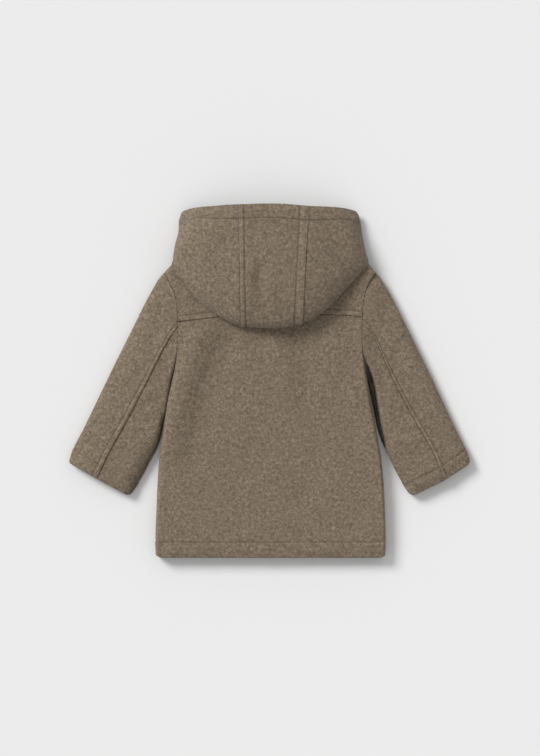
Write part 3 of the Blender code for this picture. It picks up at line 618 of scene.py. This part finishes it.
# Creases, listed one by one: each runs as a quadratic curve from a to c, bent towards b. A trough has a
# negative height. Width is from its middle to where it has faded to about a third.
CREASES = {
    "back": table(
        "ax ay bx by cx cy height width",
        (-80, 328, -131, 244, -140, 104, 3.6, 16),
        (-50, 324, -104, 240, -112, 112, -2.4, 18),
        (112, 312, 98, 270, 106, 222, -0.6, 11),
        (122, 262, 110, 236, 116, 190, 0.5, 10),
        (-20, 300, -8, 230, -26, 168, 0.45, 26),
        (32, 316, 36, 262, 40, 190, -1.5, 14),
        (-90, 160, -60, 118, -72, 60, -0.4, 20),
        (84, 140, 70, 90, 88, 34, 0.4, 20),
        (-148, 60, -128, 44, -96, 40, 0.3, 12),
        (8, 90, 30, 60, 20, 30, -0.3, 16),
    ),
    "sleeve": table(
        "ax ay bx by cx cy height width",
        (-130, 300, -143, 270, -150, 236, -0.9, 8),
        (-142, 232, -152, 214, -166, 200, -0.8, 6),
        (-147, 214, -158, 202, -172, 196, 0.6, 5),
        (-170, 330, -186, 292, -196, 268, -0.35, 12),
        (-226, 214, -214, 180, -200, 162, 0.4, 12),
        (-176, 150, -196, 142, -216, 148, -0.5, 8),
        (130, 306, 137, 290, 150, 270, -1.7, 7),
        (140, 262, 150, 238, 164, 222, -0.7, 8),
        (150, 250, 162, 236, 176, 232, 0.6, 6),
        (176, 153, 200, 140, 232, 139, -0.7, 7),
        (172, 166, 196, 156, 222, 158, 0.5, 7),
        (178, 330, 190, 300, 204, 270, -0.4, 13),
        (218, 226, 212, 196, 202, 174, 0.4, 12),
    ),
    "hood": table(
        "ax ay bx by cx cy height width",
        (-10, 404, -22, 378, -12, 332, -2.3, 8),
        (4, 404, -2, 376, 8, 340, 1.3, 10),
        (-30, 410, -38, 380, -30, 350, 0.6, 9),
        (-70, 458, -86, 430, -84, 392, 0.6, 16),
        (-60, 440, -66, 410, -58, 372, -0.6, 12),
        (70, 450, 84, 420, 80, 384, -0.7, 14),
        (92, 446, 108, 424, 108, 396, 0.6, 12),
        (20, 462, 30, 440, 24, 410, -0.5, 12),
        (-112, 446, -100, 430, -104, 406, -0.5, 9),
        (60, 360, 74, 372, 96, 384, -0.5, 9),
    ),
    "under": table(
        "ax ay bx by cx cy height width",
        (-110, 300, -96, 240, -106, 180, -0.6, 12),
        (104, 290, 92, 220, 100, 150, -0.6, 12),
        (-60, 200, -40, 140, -52, 80, -0.5, 16),
        (70, 180, 56, 120, 66, 60, -0.5, 16),
        (-176, 300, -190, 262, -204, 236, -0.5, 9),
        (176, 300, 190, 262, 204, 236, -0.5, 9),
        (-196, 190, -206, 170, -220, 160, -0.5, 8),
        (196, 190, 206, 170, 220, 160, -0.5, 8),
    ),
}
CREASE_TAPER = 0.7  # power of the sine along a crease's length
CREASE_FLANK = (0.28, 1.9, 0.8)  # rise beside a trough as a share of its depth, its place and reach


def creased(plan, rows):
    """Sum of the creases at each plan point: a bell across each curve, with low flanks, tapering to
    nothing at both ends as a power of a sine."""
    total = np.zeros(plan.shape[:-1])
    t = np.linspace(0, 1, 25)
    weights = np.stack([(1 - t) ** 2, 2 * t * (1 - t), t ** 2], -1)
    rise, place, spread_out = CREASE_FLANK
    for ax, ay, bx, by, cx, cy, height, width in zip(*rows.values()):
        path = weights @ np.array(((ax, ay), (bx, by), (cx, cy)))
        start, run = path[:-1], np.diff(path, axis=0)
        offset = plan[..., None, :] - start
        along = np.clip((offset * run).sum(-1) / (run ** 2).sum(-1), 0, 1)
        off = np.linalg.norm(offset - along[..., None] * run, axis=-1)
        nearest = off.argmin(-1)[..., None]
        near = np.take_along_axis(off, nearest, -1)[..., 0] / width
        at = (nearest[..., 0] + np.take_along_axis(along, nearest, -1)[..., 0]) / (len(t) - 1)
        bell = np.exp(-near ** 2) - rise * np.exp(-((near - place) / spread_out) ** 2)
        total += height * bell * np.sin(np.pi * at) ** CREASE_TAPER
    return total


def wander(plan, seed, sizes=UNEVEN):
    """Soft unevenness: for each height and length, a sum of sines of about that length, each in a
    direction and phase drawn from the seed."""
    draw = np.random.default_rng(seed)
    total = np.zeros(plan.shape[:-1])
    for height, length in sizes:
        angle, phase = draw.uniform(0, 2 * np.pi, (2, WAVES))
        pitch = length * draw.uniform(0.7, 1.4, WAVES)
        turns = (plan[..., :1] * np.cos(angle) + plan[..., 1:] * np.sin(angle)) / pitch * 2 * np.pi
        total += height * np.sin(turns + phase).sum(-1) / np.sqrt(WAVES / 2)
    return total


def dented(away, stitched):
    """Groove along a stitched line and the puff of doubled cloth between it and its edge."""
    depth, half = STITCH_DENT
    puff = SEAM_PUFF * np.sin(np.pi * np.clip(away / stitched, 0, 1))
    return puff - depth * np.exp(-((away - stitched) / half) ** 2)


# ---- closed shells ----

BACK_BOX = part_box("back_panel")
SHIFT = np.array(((BACK_BOX[0][0] + BACK_BOX[1][0]) / 2, BACK_BOX[0][1], 0))
WELD = 2e-6


def metres(points):
    """From the coat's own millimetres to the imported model's frame."""
    return points / 1000 + SHIFT


def quarter(away, radius):
    """Drop of a rounded edge: its radius less the height of that circle, a distance in from the edge."""
    inside = np.clip(radius - away, 0, radius)
    return radius - np.sqrt(np.maximum(radius ** 2 - inside ** 2, 0))


def placed(name, data):
    """Adds an object to the scene."""
    made = bpy.data.objects.new(name, data)
    bpy.context.scene.collection.objects.link(made)
    return made


def link(name, mesh, material):
    """Adds a piece of the coat, which rides on its one body."""
    piece = placed(name, mesh)
    mesh.materials.append(material)
    mesh.shade_smooth()
    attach(piece, "root")
    return piece


def make_shell(name, points, turned, borders, flip, shade, material):
    """Closed wall of cloth: the outer grid, the inner one a thickness further in along the normals,
    both rounded at their borders, and a rim between them. A turned edge is one full round."""
    normal = normals(points, flip)
    thick = mix(CLOTH, TURNED_CLOTH, turned)
    drops = np.zeros((2, *thick.shape))
    for border, kind in borders.items():
        radii = EDGE_ROUND.get(kind, (thick / 2, thick / 2))
        away = inwards(points, border)
        drops = np.maximum(drops, [quarter(away, radius) for radius in radii])
    faces = [points - normal * depth[..., None] for depth in (drops[0], thick - drops[1])]
    vertices = np.concatenate(faces).reshape(-1, 3)
    vertices[:, 2] = np.maximum(vertices[:, 2], 0)
    index = np.arange(thick.size).reshape(thick.shape)
    face = np.stack([index[:-1, :-1], index[:-1, 1:], index[1:, 1:], index[1:, :-1]], -1).reshape(-1, 4)
    loop = np.concatenate([index[0, :-1], index[:-1, -1], index[-1, :0:-1], index[:0:-1, 0]])
    following = np.roll(loop, -1)
    rim = np.stack([following, loop, loop + thick.size, following + thick.size], -1)
    faces = np.concatenate([face, face[:, ::-1] + thick.size, rim])
    if flip:
        faces = faces[:, ::-1]
    mesh = bpy.data.meshes.new(name)
    mesh.from_pydata(metres(vertices).tolist(), [], faces.tolist())
    across, along = inwards(points, "first"), inwards(points, "low")
    chart = np.stack([across - across[:, -1:] / 2, along], -1).reshape(-1, 2) / 1000
    corners = np.zeros(len(mesh.loops), int)
    mesh.loops.foreach_get("vertex_index", corners)
    chart = chart[corners % thick.size].astype(np.float32)
    mesh.uv_layers.new(name="cloth").data.foreach_set("uv", chart.ravel())
    # painted light and shade, one value for each point, which the wool's colour reads
    soft = mesh.attributes.new("painted_shading", "FLOAT", "POINT")
    soft.data.foreach_set("value", np.tile(shade.reshape(-1), 2).astype(np.float32))
    welded = bmesh.new()
    welded.from_mesh(mesh)
    bmesh.ops.remove_doubles(welded, verts=welded.verts, dist=WELD)
    welded.to_mesh(mesh)
    welded.free()
    return link(name, mesh, material)


# ---- stitches ----

STITCH_PITCH = 3.4
STITCH_LENGTH = 2.5
STITCH_RADIUS = 0.3
STITCH_RINGS = table("along radius", (-1, 0.25), (-0.6, 0.85), (0, 1), (0.6, 0.85), (1, 0.25))
STITCH_SIDES = 6
STITCH_ARCH = 0.3  # rise of a stitch's middle over its ends
STITCH_SINK = 0.12  # how deep its ends lie in the groove
STITCH_AHEAD = 0.5  # distance over which the thread's way is measured
STITCH_ROOM = 2.0  # how far cloth has to reach past a line to be stitched


def line_inside(points, normal, border, stitched):
    """Points and normals of the line at a set distance from a border, found between two grid lines,
    and where the cloth reaches far enough past it."""
    away = turned_to(inwards(points, border), border)
    below = np.clip((away < stitched).sum(0) - 1, 0, len(away) - 2)[None]

    def either_side(grid, at):
        """The grid's values on the lines just before and just past the distance."""
        return (np.take_along_axis(grid, at + step, 0) for step in (0, 1))

    low, high = either_side(away, below)
    part = np.clip((stitched - low) / np.maximum(high - low, 1e-9), 0, 1)[..., None]
    found = (mix(*either_side(turned_to(grid, border), below[..., None]), part)[0]
             for grid in (points, normal))
    return (*found, away[-1] > stitched + STITCH_ROOM)


def stitches(lines):
    """A run of stitches on each line: threads with many sides that taper and dip at both ends, as
    arrays of points and faces."""
    runs = []
    for path, normal in lines:
        run = run_length(path)
        at = np.arange(STITCH_PITCH, run[-1] - STITCH_PITCH, STITCH_PITCH)
        here, ahead, up = (
            np.stack([np.interp(at + step, run, line) for line in grid.T], -1)
            for step, grid in ((0, path), (STITCH_AHEAD, path), (0, normal)))
        way = unit(ahead - here)
        runs.append((here, way, unit(up - way * (up * way).sum(-1, keepdims=True))))
    middle, way, up = (np.concatenate(part)[:, None, None] for part in zip(*runs))
    along, radius = (STITCH_RINGS[name][:, None, None] for name in ("along", "radius"))
    radius = radius * STITCH_RADIUS
    turn = np.linspace(0, 2 * np.pi, STITCH_SIDES, endpoint=False)[:, None]
    rise = STITCH_ARCH * (1 - along ** 2) - STITCH_SINK
    points = middle + way * along * STITCH_LENGTH / 2 + up * (rise + radius * np.sin(turn))
    points = points + np.cross(way, up) * radius * np.cos(turn)
    index = np.arange(points[..., 0].size).reshape(points.shape[:3])
    here, ahead = index[:, :-1], index[:, 1:]
    quads = np.stack([here, ahead, np.roll(ahead, -1, 2), np.roll(here, -1, 2)], -1).reshape(-1, 4)
    return points.reshape(-1, 3), quads.tolist() + index[:, 0].tolist() + index[:, -1, ::-1].tolist()


def make_stitches(name, lines, material):
    """One piece's topstitching as a mesh of its own."""
    points, faces = stitches(lines)
    mesh = bpy.data.meshes.new(name)
    mesh.from_pydata(metres(points).tolist(), [], faces)
    piece = link(name, mesh, material)
    return piece


# ---- one cut piece ----

# Depth of light and shade painted into the wool's colour, from -1 lit to 1 dark
HOLLOW_SHADE = 0.3  # painted shade in a trough of that depth
HOLLOW_DEPTH = 1.5
EDGE_SHADE = {"seam": (0.4, 1.1), "tucked": (0.45, 1.2)}  # painted shade at a seam, and how far it reaches
GROOVE_SHADE = 0.5  # painted shade in the groove of a stitched line
HEM_GROOVE_SHADE = 0.1  # the same painted shade at the hem
HEM_PAINTED_LIGHT = ((-0.3, 14.0), (-0.45, 2.5))  # painted light on a hem's turned edge, and how far each reaches
LEDGE_SHADE = 1.85  # painted shade deep between a sleeve and the body
INNER_SHADE = {"left": 1.0, "right": 0.0}  # painted shade on the inner side of a cuff
INNER_SHADE_REACH = 15.0
PAINTED_PIECE_SHADING = {  # painted light (below 0) and shade (above 0) over whole pieces: lighter on the left, towards the key light, and darker on the hood's right
    "back_yoke": -0.18, "hood_side_left": -0.04, "hood_centre": 0.1, "hood_side_right": 0.17,
    "sleeve_left_upper": -0.16, "sleeve_left_under": -0.1,
}
RIDGE_LIGHT = 0.3  # painted light on the ridge between a seam and its stitches
DOUBLED = 15.0  # widest such ridge


def make_piece(looks, node, points, turned, borders, relief, stitched, flip=False, shade=0):
    """Gives a sheet its relief, closes it as a shell and sews its topstitching. The painted shade is a sum
    of bells and fades: in troughs, at seams and in the grooves of stitched lines."""
    wool, thread = looks
    dent = np.zeros(points.shape[:2])
    painted_shading = HOLLOW_SHADE * np.clip(-relief / HOLLOW_DEPTH, 0, 1) + PAINTED_PIECE_SHADING.get(node, 0) + shade
    for border, kind in borders.items():
        darkness, reach = EDGE_SHADE.get(kind, (0, 1))
        away = inwards(points, border)
        painted_shading = np.maximum(painted_shading, darkness * np.exp(-away / reach))
        # painted light along the hem's turned edge
        if kind == "worn":
            painted_shading = painted_shading + sum(lightness * np.exp(-away / reach) for lightness, reach in HEM_PAINTED_LIGHT)
    for border, stitched_at, groove in stitched:
        away = inwards(points, border)
        dent += dented(away, stitched_at)
        painted_shading += groove * np.exp(-((away - stitched_at) / STITCH_DENT[1]) ** 2)
        if stitched_at < DOUBLED:
            painted_shading -= RIDGE_LIGHT * np.sin(np.pi * np.clip(away / stitched_at, 0, 1))
    formed = points + normals(points, flip) * (relief + dent)[..., None]
    formed[..., 2] = np.maximum(formed[..., 2], 0)
    piece = make_shell(node + "_cloth", formed, turned, borders, flip, painted_shading, wool)
    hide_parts(node)
    face = normals(formed, flip)
    sewn = []
    for border, stitched_at, _ in stitched:
        line, up, real = line_inside(formed, face, border, stitched_at)
        if real.sum() > 4:
            sewn.append((line[real], up[real]))
    threads = [make_stitches(node + "_topstitch", sewn, thread)] if sewn else []
    width = run_length(formed.swapaxes(0, 1))[-1].max() / 1000


# ---- materials ----

def linear(colour):
    """Linear colour from sRGB hex."""
    srgb = np.array([int(colour[i:i + 2], 16) / 255 for i in (0, 2, 4)])
    return (*np.where(srgb <= 0.04045, srgb / 12.92, ((srgb + 0.055) / 1.055) ** 2.4), 1)


def feed(tree, node, inputs):
    """Gives each named input of a node a value, or the socket that feeds it."""
    for name, value in dict(inputs).items():
        if isinstance(value, bpy.types.NodeSocket):
            tree.links.new(value, node.inputs[name])
        else:
            node.inputs[name].default_value = value
    return node


def add(tree, kind, inputs=(), **settings):
    """Adds a node with its settings and inputs."""
    made = tree.nodes.new(kind)
    for name, value in settings.items():
        setattr(made, name, value)
    return feed(tree, made, inputs)


def noise(tree, size, detail, roughness=0.5):
    """Noise in the piece's own space, its largest flecks of a size in millimetres."""
    place = add(tree, "ShaderNodeTexCoord").outputs["Object"]
    return add(tree, "ShaderNodeTexNoise", {
        "Vector": place, "Scale": 1000 / size, "Detail": detail, "Roughness": roughness}).outputs["Fac"]


def mapped(tree, value, source, target):
    """Straight map of a value from one range to another."""
    return add(tree, "ShaderNodeMapRange", {
        "Value": value, "From Min": source[0], "From Max": source[1],
        "To Min": target[0], "To Max": target[1]}).outputs["Result"]


def ramp(tree, fac, stops):
    """Colour ramp through (place, colour) stops."""
    made = add(tree, "ShaderNodeValToRGB", {"Fac": fac})
    points = made.color_ramp.elements
    while len(points) < len(stops):
        points.new(0.5)
    for point, (place, colour) in zip(points, stops):
        point.position = place
        point.color = linear(colour)
    return made.outputs["Color"]


def new_material(name, roughness, sheen=0.0, specular=0.2):
    """Matt surface, with the index of refraction of fibres and paint."""
    material = bpy.data.materials.new(name)
    material.use_nodes = True
    tree = material.node_tree
    shader = feed(tree, tree.nodes["Principled BSDF"], {
        "Roughness": roughness, "Metallic": 0.0, "IOR": 1.5, "Specular IOR Level": specular,
        "Sheen Weight": sheen, "Sheen Roughness": 0.6})
    return material, tree, shader


def bumped(tree, shader, colour, height, strength, depth):
    """Feeds a surface its colour and a bump of a strength and a depth in metres."""
    bump = add(tree, "ShaderNodeBump", {"Height": height, "Strength": strength, "Distance": depth})
    feed(tree, shader, {"Base Color": colour, "Normal": bump.outputs["Normal"]})


HEATHER = 4.2  # size of the largest flecks of mixed fibre, in mm; the finest are an eighth of it
MOTTLE = 16.0  # size of the soft patches of the brushed face
MOTTLE_LIGHT = (0.975, 1.025)  # how light they are
TWILL = 2.1  # spacing of the faint twill line under the nap
TWILL_SLANT = 1.05  # its turn from the grain, in radians
TWILL_SHARE = 0.12  # its share of the surface's bump
# Colours of the mixed fibres, from the dark ones to the light
WOOL_HEATHER = ((0.28, "514332"), (0.413, "6A5C4B"), (0.5, "786A59"), (0.587, "867867"), (0.72, "9F9180"))
SHADE_RANGE = (-1.0, 2.5)  # depths of painted shade at which the wool's colour is lightest and darkest
SHADE_LIGHT = (1.36, 0.1)  # how light it is there
PLY = 1 / 1.8  # twist of the thread's plies, in mm
FLOOR_COLOUR = "E9E9E9"


def wool_coating():
    """Brushed wool coating, woven from mixed light and dark fibres: matt, with flecks of every size down
    to a fibre's tuft, a hint of twill under the nap, and a faint sheen where raised fibres catch light."""
    material, tree, shader = new_material("wool_coating", 0.95, 0.12)
    chart = add(tree, "ShaderNodeUVMap", uv_map="cloth").outputs["UV"]
    fleck = noise(tree, HEATHER, 3.0, 1.0)
    heather = ramp(tree, fleck, WOOL_HEATHER)
    patch = mapped(tree, noise(tree, MOTTLE, 2.0), (0.3, 0.7), MOTTLE_LIGHT)
    # painted light and shade from each piece scale the heather's colour
    painted_shading = add(tree, "ShaderNodeAttribute", attribute_name="painted_shading").outputs["Fac"]
    light = add(tree, "ShaderNodeMath", {0: patch, 1: mapped(tree, painted_shading, SHADE_RANGE, SHADE_LIGHT)},
                operation="MULTIPLY").outputs["Value"]
    colour = add(tree, "ShaderNodeVectorMath", {0: heather, "Scale": light}, operation="SCALE")
    twill = add(tree, "ShaderNodeMapping", {
        "Vector": chart, "Rotation": (0, 0, TWILL_SLANT), "Scale": (1000 / TWILL, 1000 / TWILL, 1)})
    lines = add(tree, "ShaderNodeTexWave", {
        "Vector": twill.outputs["Vector"], "Scale": 0.32, "Distortion": 2.5, "Detail": 2.0},
        bands_direction="X").outputs["Fac"]
    nap = add(tree, "ShaderNodeMix", {0: TWILL_SHARE, 2: fleck, 3: lines}, data_type="FLOAT").outputs[0]
    bumped(tree, shader, colour.outputs["Vector"], nap, 0.5, 0.0012)
    return material


def spun_thread():
    """Matt spun sewing thread in the cloth's colour: darker than the wool, with the twist of its plies."""
    material, tree, shader = new_material("spun_thread", 0.8, 0.1)
    ply = noise(tree, PLY, 1.0)
    bumped(tree, shader, ramp(tree, ply, ((0.35, "564C40"), (0.65, "706454"))), ply, 0.4, 0.0001)
    return material


def pale_floor():
    """Plain matt pale board."""
    material, tree, shader = new_material("pale_floor", 1.0, specular=0.0)
    feed(tree, shader, {"Base Color": linear(FLOOR_COLOUR)})
    return material


# ---- the coat ----

YOKE_STITCH = 7.5
HEM_STITCH = 22.0
CUFF_STITCH = 19.5
FACE_STITCH = 20.5
SLEEVE_STITCH = {"left": 7.2, "right": 5.6}
# Painted shade in the grooves of a sleeve's back seam and of its cuff stitching
SLEEVE_GROOVE_SHADE = {"left": 0.35, "right": 0.3}
CUFF_GROOVE_SHADE = {"left": 0.1, "right": 0.4}
STRIP_STITCH = {"left": 7.5, "right": 12.0}
STRIP = (11.0, 13.0)  # stations of the hood's strip
HOOD_TURN = (34.0, 22)  # reach and number of the grid's lines beside its rim
YOKE_WIDTH = 250.0  # nominal widths, for the number of a piece's columns
FRONT_WIDTH = 165.0
# Widths over which relief fades in from side folds, the shoulders, a front's folds and an armhole
SIDE_CALM = 14.0
SHOULDER_CALM = 12.0
FRONT_CALM = 20.0
ARM_CALM = 6.0
HOOD_CALM = (8.0, 20.0)  # heights between which it fades in on the hood
UNDER_WANDER = 0.3  # share of the unevenness on a layer that lies on the surface


def turned_share(away):
    """1 where an edge is turned up, fading to 0 past the turn."""
    return 1 - ease((away - TURN_UP + TURN_FADE / 2) / TURN_FADE)


def stations(marks, first, last, step, near, far):
    """Stations of a body piece's rows, spread up its side edge from one mark to another."""
    low, high = marks[first], marks[last]
    return np.interp(mix(low, high, spread(high - low, step, near, far)[0]), marks, range(4))


def columns(station, width, step, near, far):
    """The same columns on every row, spread over a nominal width."""
    return spread(np.full(len(station), width), step, near, far)


def calm(points, **fades):
    """Share of its relief that cloth keeps: a soft step in from each border over a set width."""
    share = 1.0
    for border, width in fades.items():
        share = share * ease(inwards(points, border), 0, width)
    return share


def top_relief(points, key, seed):
    """Creases and unevenness of a layer that shows."""
    plan = points[..., :2]
    return creased(plan, CREASES[key]) + wander(plan, seed)


def under_relief(points, seed):
    """Shallow hollows of a layer that lies on the surface: only ever inwards."""
    plan = points[..., :2]
    return np.minimum(creased(plan, CREASES["under"]), 0) - UNDER_WANDER * np.abs(wander(plan, seed))


def make_body(looks):
    """Back panel and yoke on the upper layer, and both fronts on the lower one."""
    marks = SIDE_MARKS["left"]
    folds = [turn_lines(BODY_ROLL[side]) for side in SIDES]
    hem_line, seam_line = table_curve(HEM), table_curve(YOKE_SEAM)
    sides = {"first": "seam", "last": "seam"}
    hem = ("low", HEM_STITCH, HEM_GROOVE_SHADE)

    station = stations(marks, 0, 2, STEP, sewn_lines(EDGE_LINES, HEM_STITCH), SEAM_LINES)
    u = columns(station, 2 * BODY_EDGE["right"][0], STEP, *folds)
    points = back_sheet(station, u, hem_line, seam_line, False)
    relief = top_relief(points, "back", 11) * calm(points, first=SIDE_CALM, last=SIDE_CALM)
    make_piece(looks, "back_panel", points, turned_share(inwards(points, "low")),
               {"low": "worn", "high": "tucked", **sides}, relief, [hem])

    station = stations(marks, 2, 3, STEP, sewn_lines(SEAM_LINES, YOKE_STITCH), folds[0])
    u = columns(station, YOKE_WIDTH, STEP, *folds)
    points = back_sheet(station, u, seam_line, shoulder_line, True)
    points[..., 2] += RAISED * (1 - ease(inwards(points, "low"), 0, RAISED_WIDTH))
    relief = top_relief(points, "back", 11)
    relief *= calm(points, first=SIDE_CALM, last=SIDE_CALM, high=SHOULDER_CALM)
    make_piece(looks, "back_yoke", points, 0 * relief, {"low": "raised", "high": "seam", **sides}, relief,
               [("low", YOKE_STITCH, GROOVE_SHADE)])

    fold = turn_lines(ROLL_UNDER)
    for side in SIDES:
        station = stations(SIDE_MARKS[side], 0, 3, STEP_HIDDEN, sewn_lines(EDGE_LINES, HEM_STITCH), fold)
        u = columns(station, FRONT_WIDTH, STEP_HIDDEN, fold, EDGE_LINES)
        points = front_sheet(side, station, u)
        relief = under_relief(points, 23) * calm(points, first=FRONT_CALM, high=FRONT_CALM)
        make_piece(looks, "front_" + side, points, turned_share(inwards(points, "low")),
                   {"low": "edge", "high": "seam", "first": "seam", "last": "edge"}, relief, [hem],
                   flip=side == "left")


def inner_shade(side, v, layer):
    """Depth of painted shade over the upper layer of a sleeve's inner half: in the ledge beside the body,
    and as a bell from the fold on the cuff's inner side."""
    plan = layer[..., :2]
    cuff = np.exp(-(distance(plan, plan[:, -1:]) / INNER_SHADE_REACH) ** 2) * ease(v, *CUFF_ROLL_SPAN)
    return np.maximum(LEDGE_SHADE * in_ledge(side, plan), INNER_SHADE[side] * cuff)


def make_sleeves(looks):
    """Both halves of both sleeves, each as one sheet that runs over its fold from top to underside."""
    for side in SIDES:
        seams = curve(SLEEVE_BACK_SEAM[side]), curve(SLEEVE_FRONT_SEAM[side])
        folds = {"upper": curve(OUTER_FOLD[side]), "under": curve(INNER_FOLD[side])}
        length = np.linalg.norm(folds["upper"](1.0) - folds["upper"](0.0))
        rows = spread(length, STEP, SEAM_LINES, sewn_lines(EDGE_LINES, CUFF_STITCH))[0]
        for half, fold in folds.items():
            layers, shades = [], []
            for seam, top in zip(seams, (True, False)):
                raised = top and half == "upper"
                near = sewn_lines(SEAM_LINES, SLEEVE_STITCH[side]) if raised else SEAM_LINES
                u = spread(distance(seam(rows), fold(rows)), STEP if top else STEP_HIDDEN, near,
                           turn_lines(ARM_TOP_ROLL if top else ROLL_UNDER))
                layer = sleeve_layer(side, half, top, rows, u, seam, fold)
                drawn_in(layer, "first")
                if raised:
                    over = 1 - ease(inwards(layer, "first"), 0, RAISED_WIDTH)
                    layer[..., 2] += RAISED * over * ease(rows, 0, ARM_STEP)[:, None]
                layers.append(layer)
                shades.append(inner_shade(side, rows[:, None], layer) * (top and half == "under"))
            points, shade = (np.concatenate([upper, lower[:, -2::-1]], axis=1)
                             for upper, lower in (layers, shades))
            across = inwards(points, "first")
            fold_at = layers[0].shape[1] - 1
            on_top = np.arange(across.shape[1]) <= fold_at
            from_fold = np.abs(across - across[:, fold_at:fold_at + 1])
            relief = top_relief(points, "sleeve", 31 + sign(side))
            relief = np.where(on_top, relief, under_relief(points, 37))
            relief *= ease(from_fold, 0, SIDE_CALM) * calm(points, low=ARM_CALM)
            stitched = [("high", CUFF_STITCH, CUFF_GROOVE_SHADE[side])]
            if half == "upper":
                stitched.append(("first", SLEEVE_STITCH[side], SLEEVE_GROOVE_SHADE[side]))
            borders = {"low": "seam", "high": "edge", "first": "raised" if half == "upper" else "tucked",
                       "last": "seam"}
            make_piece(looks, "sleeve_{}_{}".format(side, half), points,
                       turned_share(inwards(points, "high")), borders, relief, stitched,
                       flip=(side == "left") == (half == "under"), shade=shade)


def make_hood(looks):
    """Centre strip and both sides of the hood, each between two stations of the same net."""
    ends = (0.0, *STRIP, 2 * CENTRE_BACK)
    for node, start, end in zip(("hood_side_left", "hood_centre", "hood_side_right"), ends, ends[1:]):
        centre = node == "hood_centre"
        low, high = start > ends[0], end < ends[-1]
        near, far = (SEAM_LINES if seam else EDGE_LINES for seam in (low, high))
        if centre:
            near, far = (sewn_lines(SEAM_LINES, STRIP_STITCH[side]) for side in SIDES)
        trial = np.linspace(start, end, 400)
        face, rim, *_ = hood_lines(trial)
        run = run_length((face + rim) / 2)
        station = np.interp(spread(run[-1], STEP, near, far)[0] * run[-1], run, trial)
        face, rim, neck, _ = hood_lines(station)
        over = spread(distance(face, rim), STEP, sewn_lines(EDGE_LINES, FACE_STITCH),
                      turn_lines(*HOOD_TURN))
        under = spread(distance(rim, neck), STEP_HIDDEN, turn_lines(HOOD_ROLL_UNDER), SEAM_LINES)
        points = hood_sheet(station, 1 - over, under[:, 1:], RAISED * centre)
        sewn = "raised" if centre else "tucked"
        borders = {"first": "edge", "last": "seam"}
        for border, seam in (("low", low), ("high", high)):
            if seam:
                drawn_in(points, border)
            borders[border] = sewn if seam else "edge"
        turned = turned_share(inwards(points, "first")) * (to_front(station) > NECK_POINT)[:, None]
        on_top = np.arange(points.shape[1]) < over.shape[1]
        relief = np.where(on_top, top_relief(points, "hood", 53), 0) * ease(points[..., 2], *HOOD_CALM)
        stitched = [("first", FACE_STITCH, GROOVE_SHADE)]
        if centre:
            stitched += [(border, STRIP_STITCH[side], GROOVE_SHADE)
                         for border, side in zip(("low", "high"), SIDES)]
        make_piece(looks, node, points, turned, borders, relief, stitched)


# ---- stage ----

FRAME_HEIGHT = 1.02816  # of the floor that the photo's 756 rows take in, at 1.36 mm a pixel
VIEW_CENTRE = (0.0004, 0.0038)  # where the photo's middle lies
CAMERA_HEIGHT = 10.0
SENSOR = 36.0
SUN_FROM = (-0.76, 0.65)  # plan direction towards the key light
SUN_ELEVATION = 37.0  # in degrees, and so is the light's width
SUN_ANGLE = 24.0
SUN_STRENGTH = 2.39
SKY_STRENGTH = 0.568
FLOOR_HALF = 6.0
FLOOR_DROP = 0.0003


def make_stage():
    """Square of floor just under the coat."""
    square = ((-FLOOR_HALF, -FLOOR_HALF), (FLOOR_HALF, -FLOOR_HALF), (FLOOR_HALF, FLOOR_HALF),
              (-FLOOR_HALF, FLOOR_HALF))
    corners = [(*corner, -FLOOR_DROP) for corner in square]
    mesh = bpy.data.meshes.new("floor")
    mesh.from_pydata(corners, [], [(0, 1, 2, 3)])
    mesh.materials.append(pale_floor())
    floor = placed("floor", mesh)


def make_light():
    """Wide key light from the upper left, and an even pale sky."""
    sun = bpy.data.lights.new("key_light", "SUN")
    sun.energy = SUN_STRENGTH
    sun.angle = np.radians(SUN_ANGLE)
    towards = Vector((*SUN_FROM, 0)).normalized()
    towards.z = np.tan(np.radians(SUN_ELEVATION))
    placed("key_light", sun).rotation_euler = towards.to_track_quat("Z", "Y").to_euler()
    world = bpy.data.worlds.new("studio")
    world.use_nodes = True
    feed(world.node_tree, world.node_tree.nodes["Background"], {
        "Color": (1, 1, 1, 1), "Strength": SKY_STRENGTH})
    bpy.context.scene.world = world


def make_camera():
    """Camera straight above, with a long lens that takes in the height of floor that the photo does."""
    lens = bpy.data.cameras.new("camera")
    lens.sensor_width = SENSOR
    lens.lens = SENSOR * CAMERA_HEIGHT / FRAME_HEIGHT
    lens.clip_end = 4 * CAMERA_HEIGHT
    camera = placed("camera", lens)
    camera.location = (*VIEW_CENTRE, CAMERA_HEIGHT)
    bpy.context.scene.camera = camera
    bpy.context.scene.view_settings.view_transform = "Standard"


def main():
    """Builds the stage and the coat."""
    make_stage()
    make_light()
    make_camera()
    looks = wool_coating(), spun_thread()
    make_body(looks)
    make_sleeves(looks)
    make_hood(looks)
    bpy.context.view_layer.update()


main()
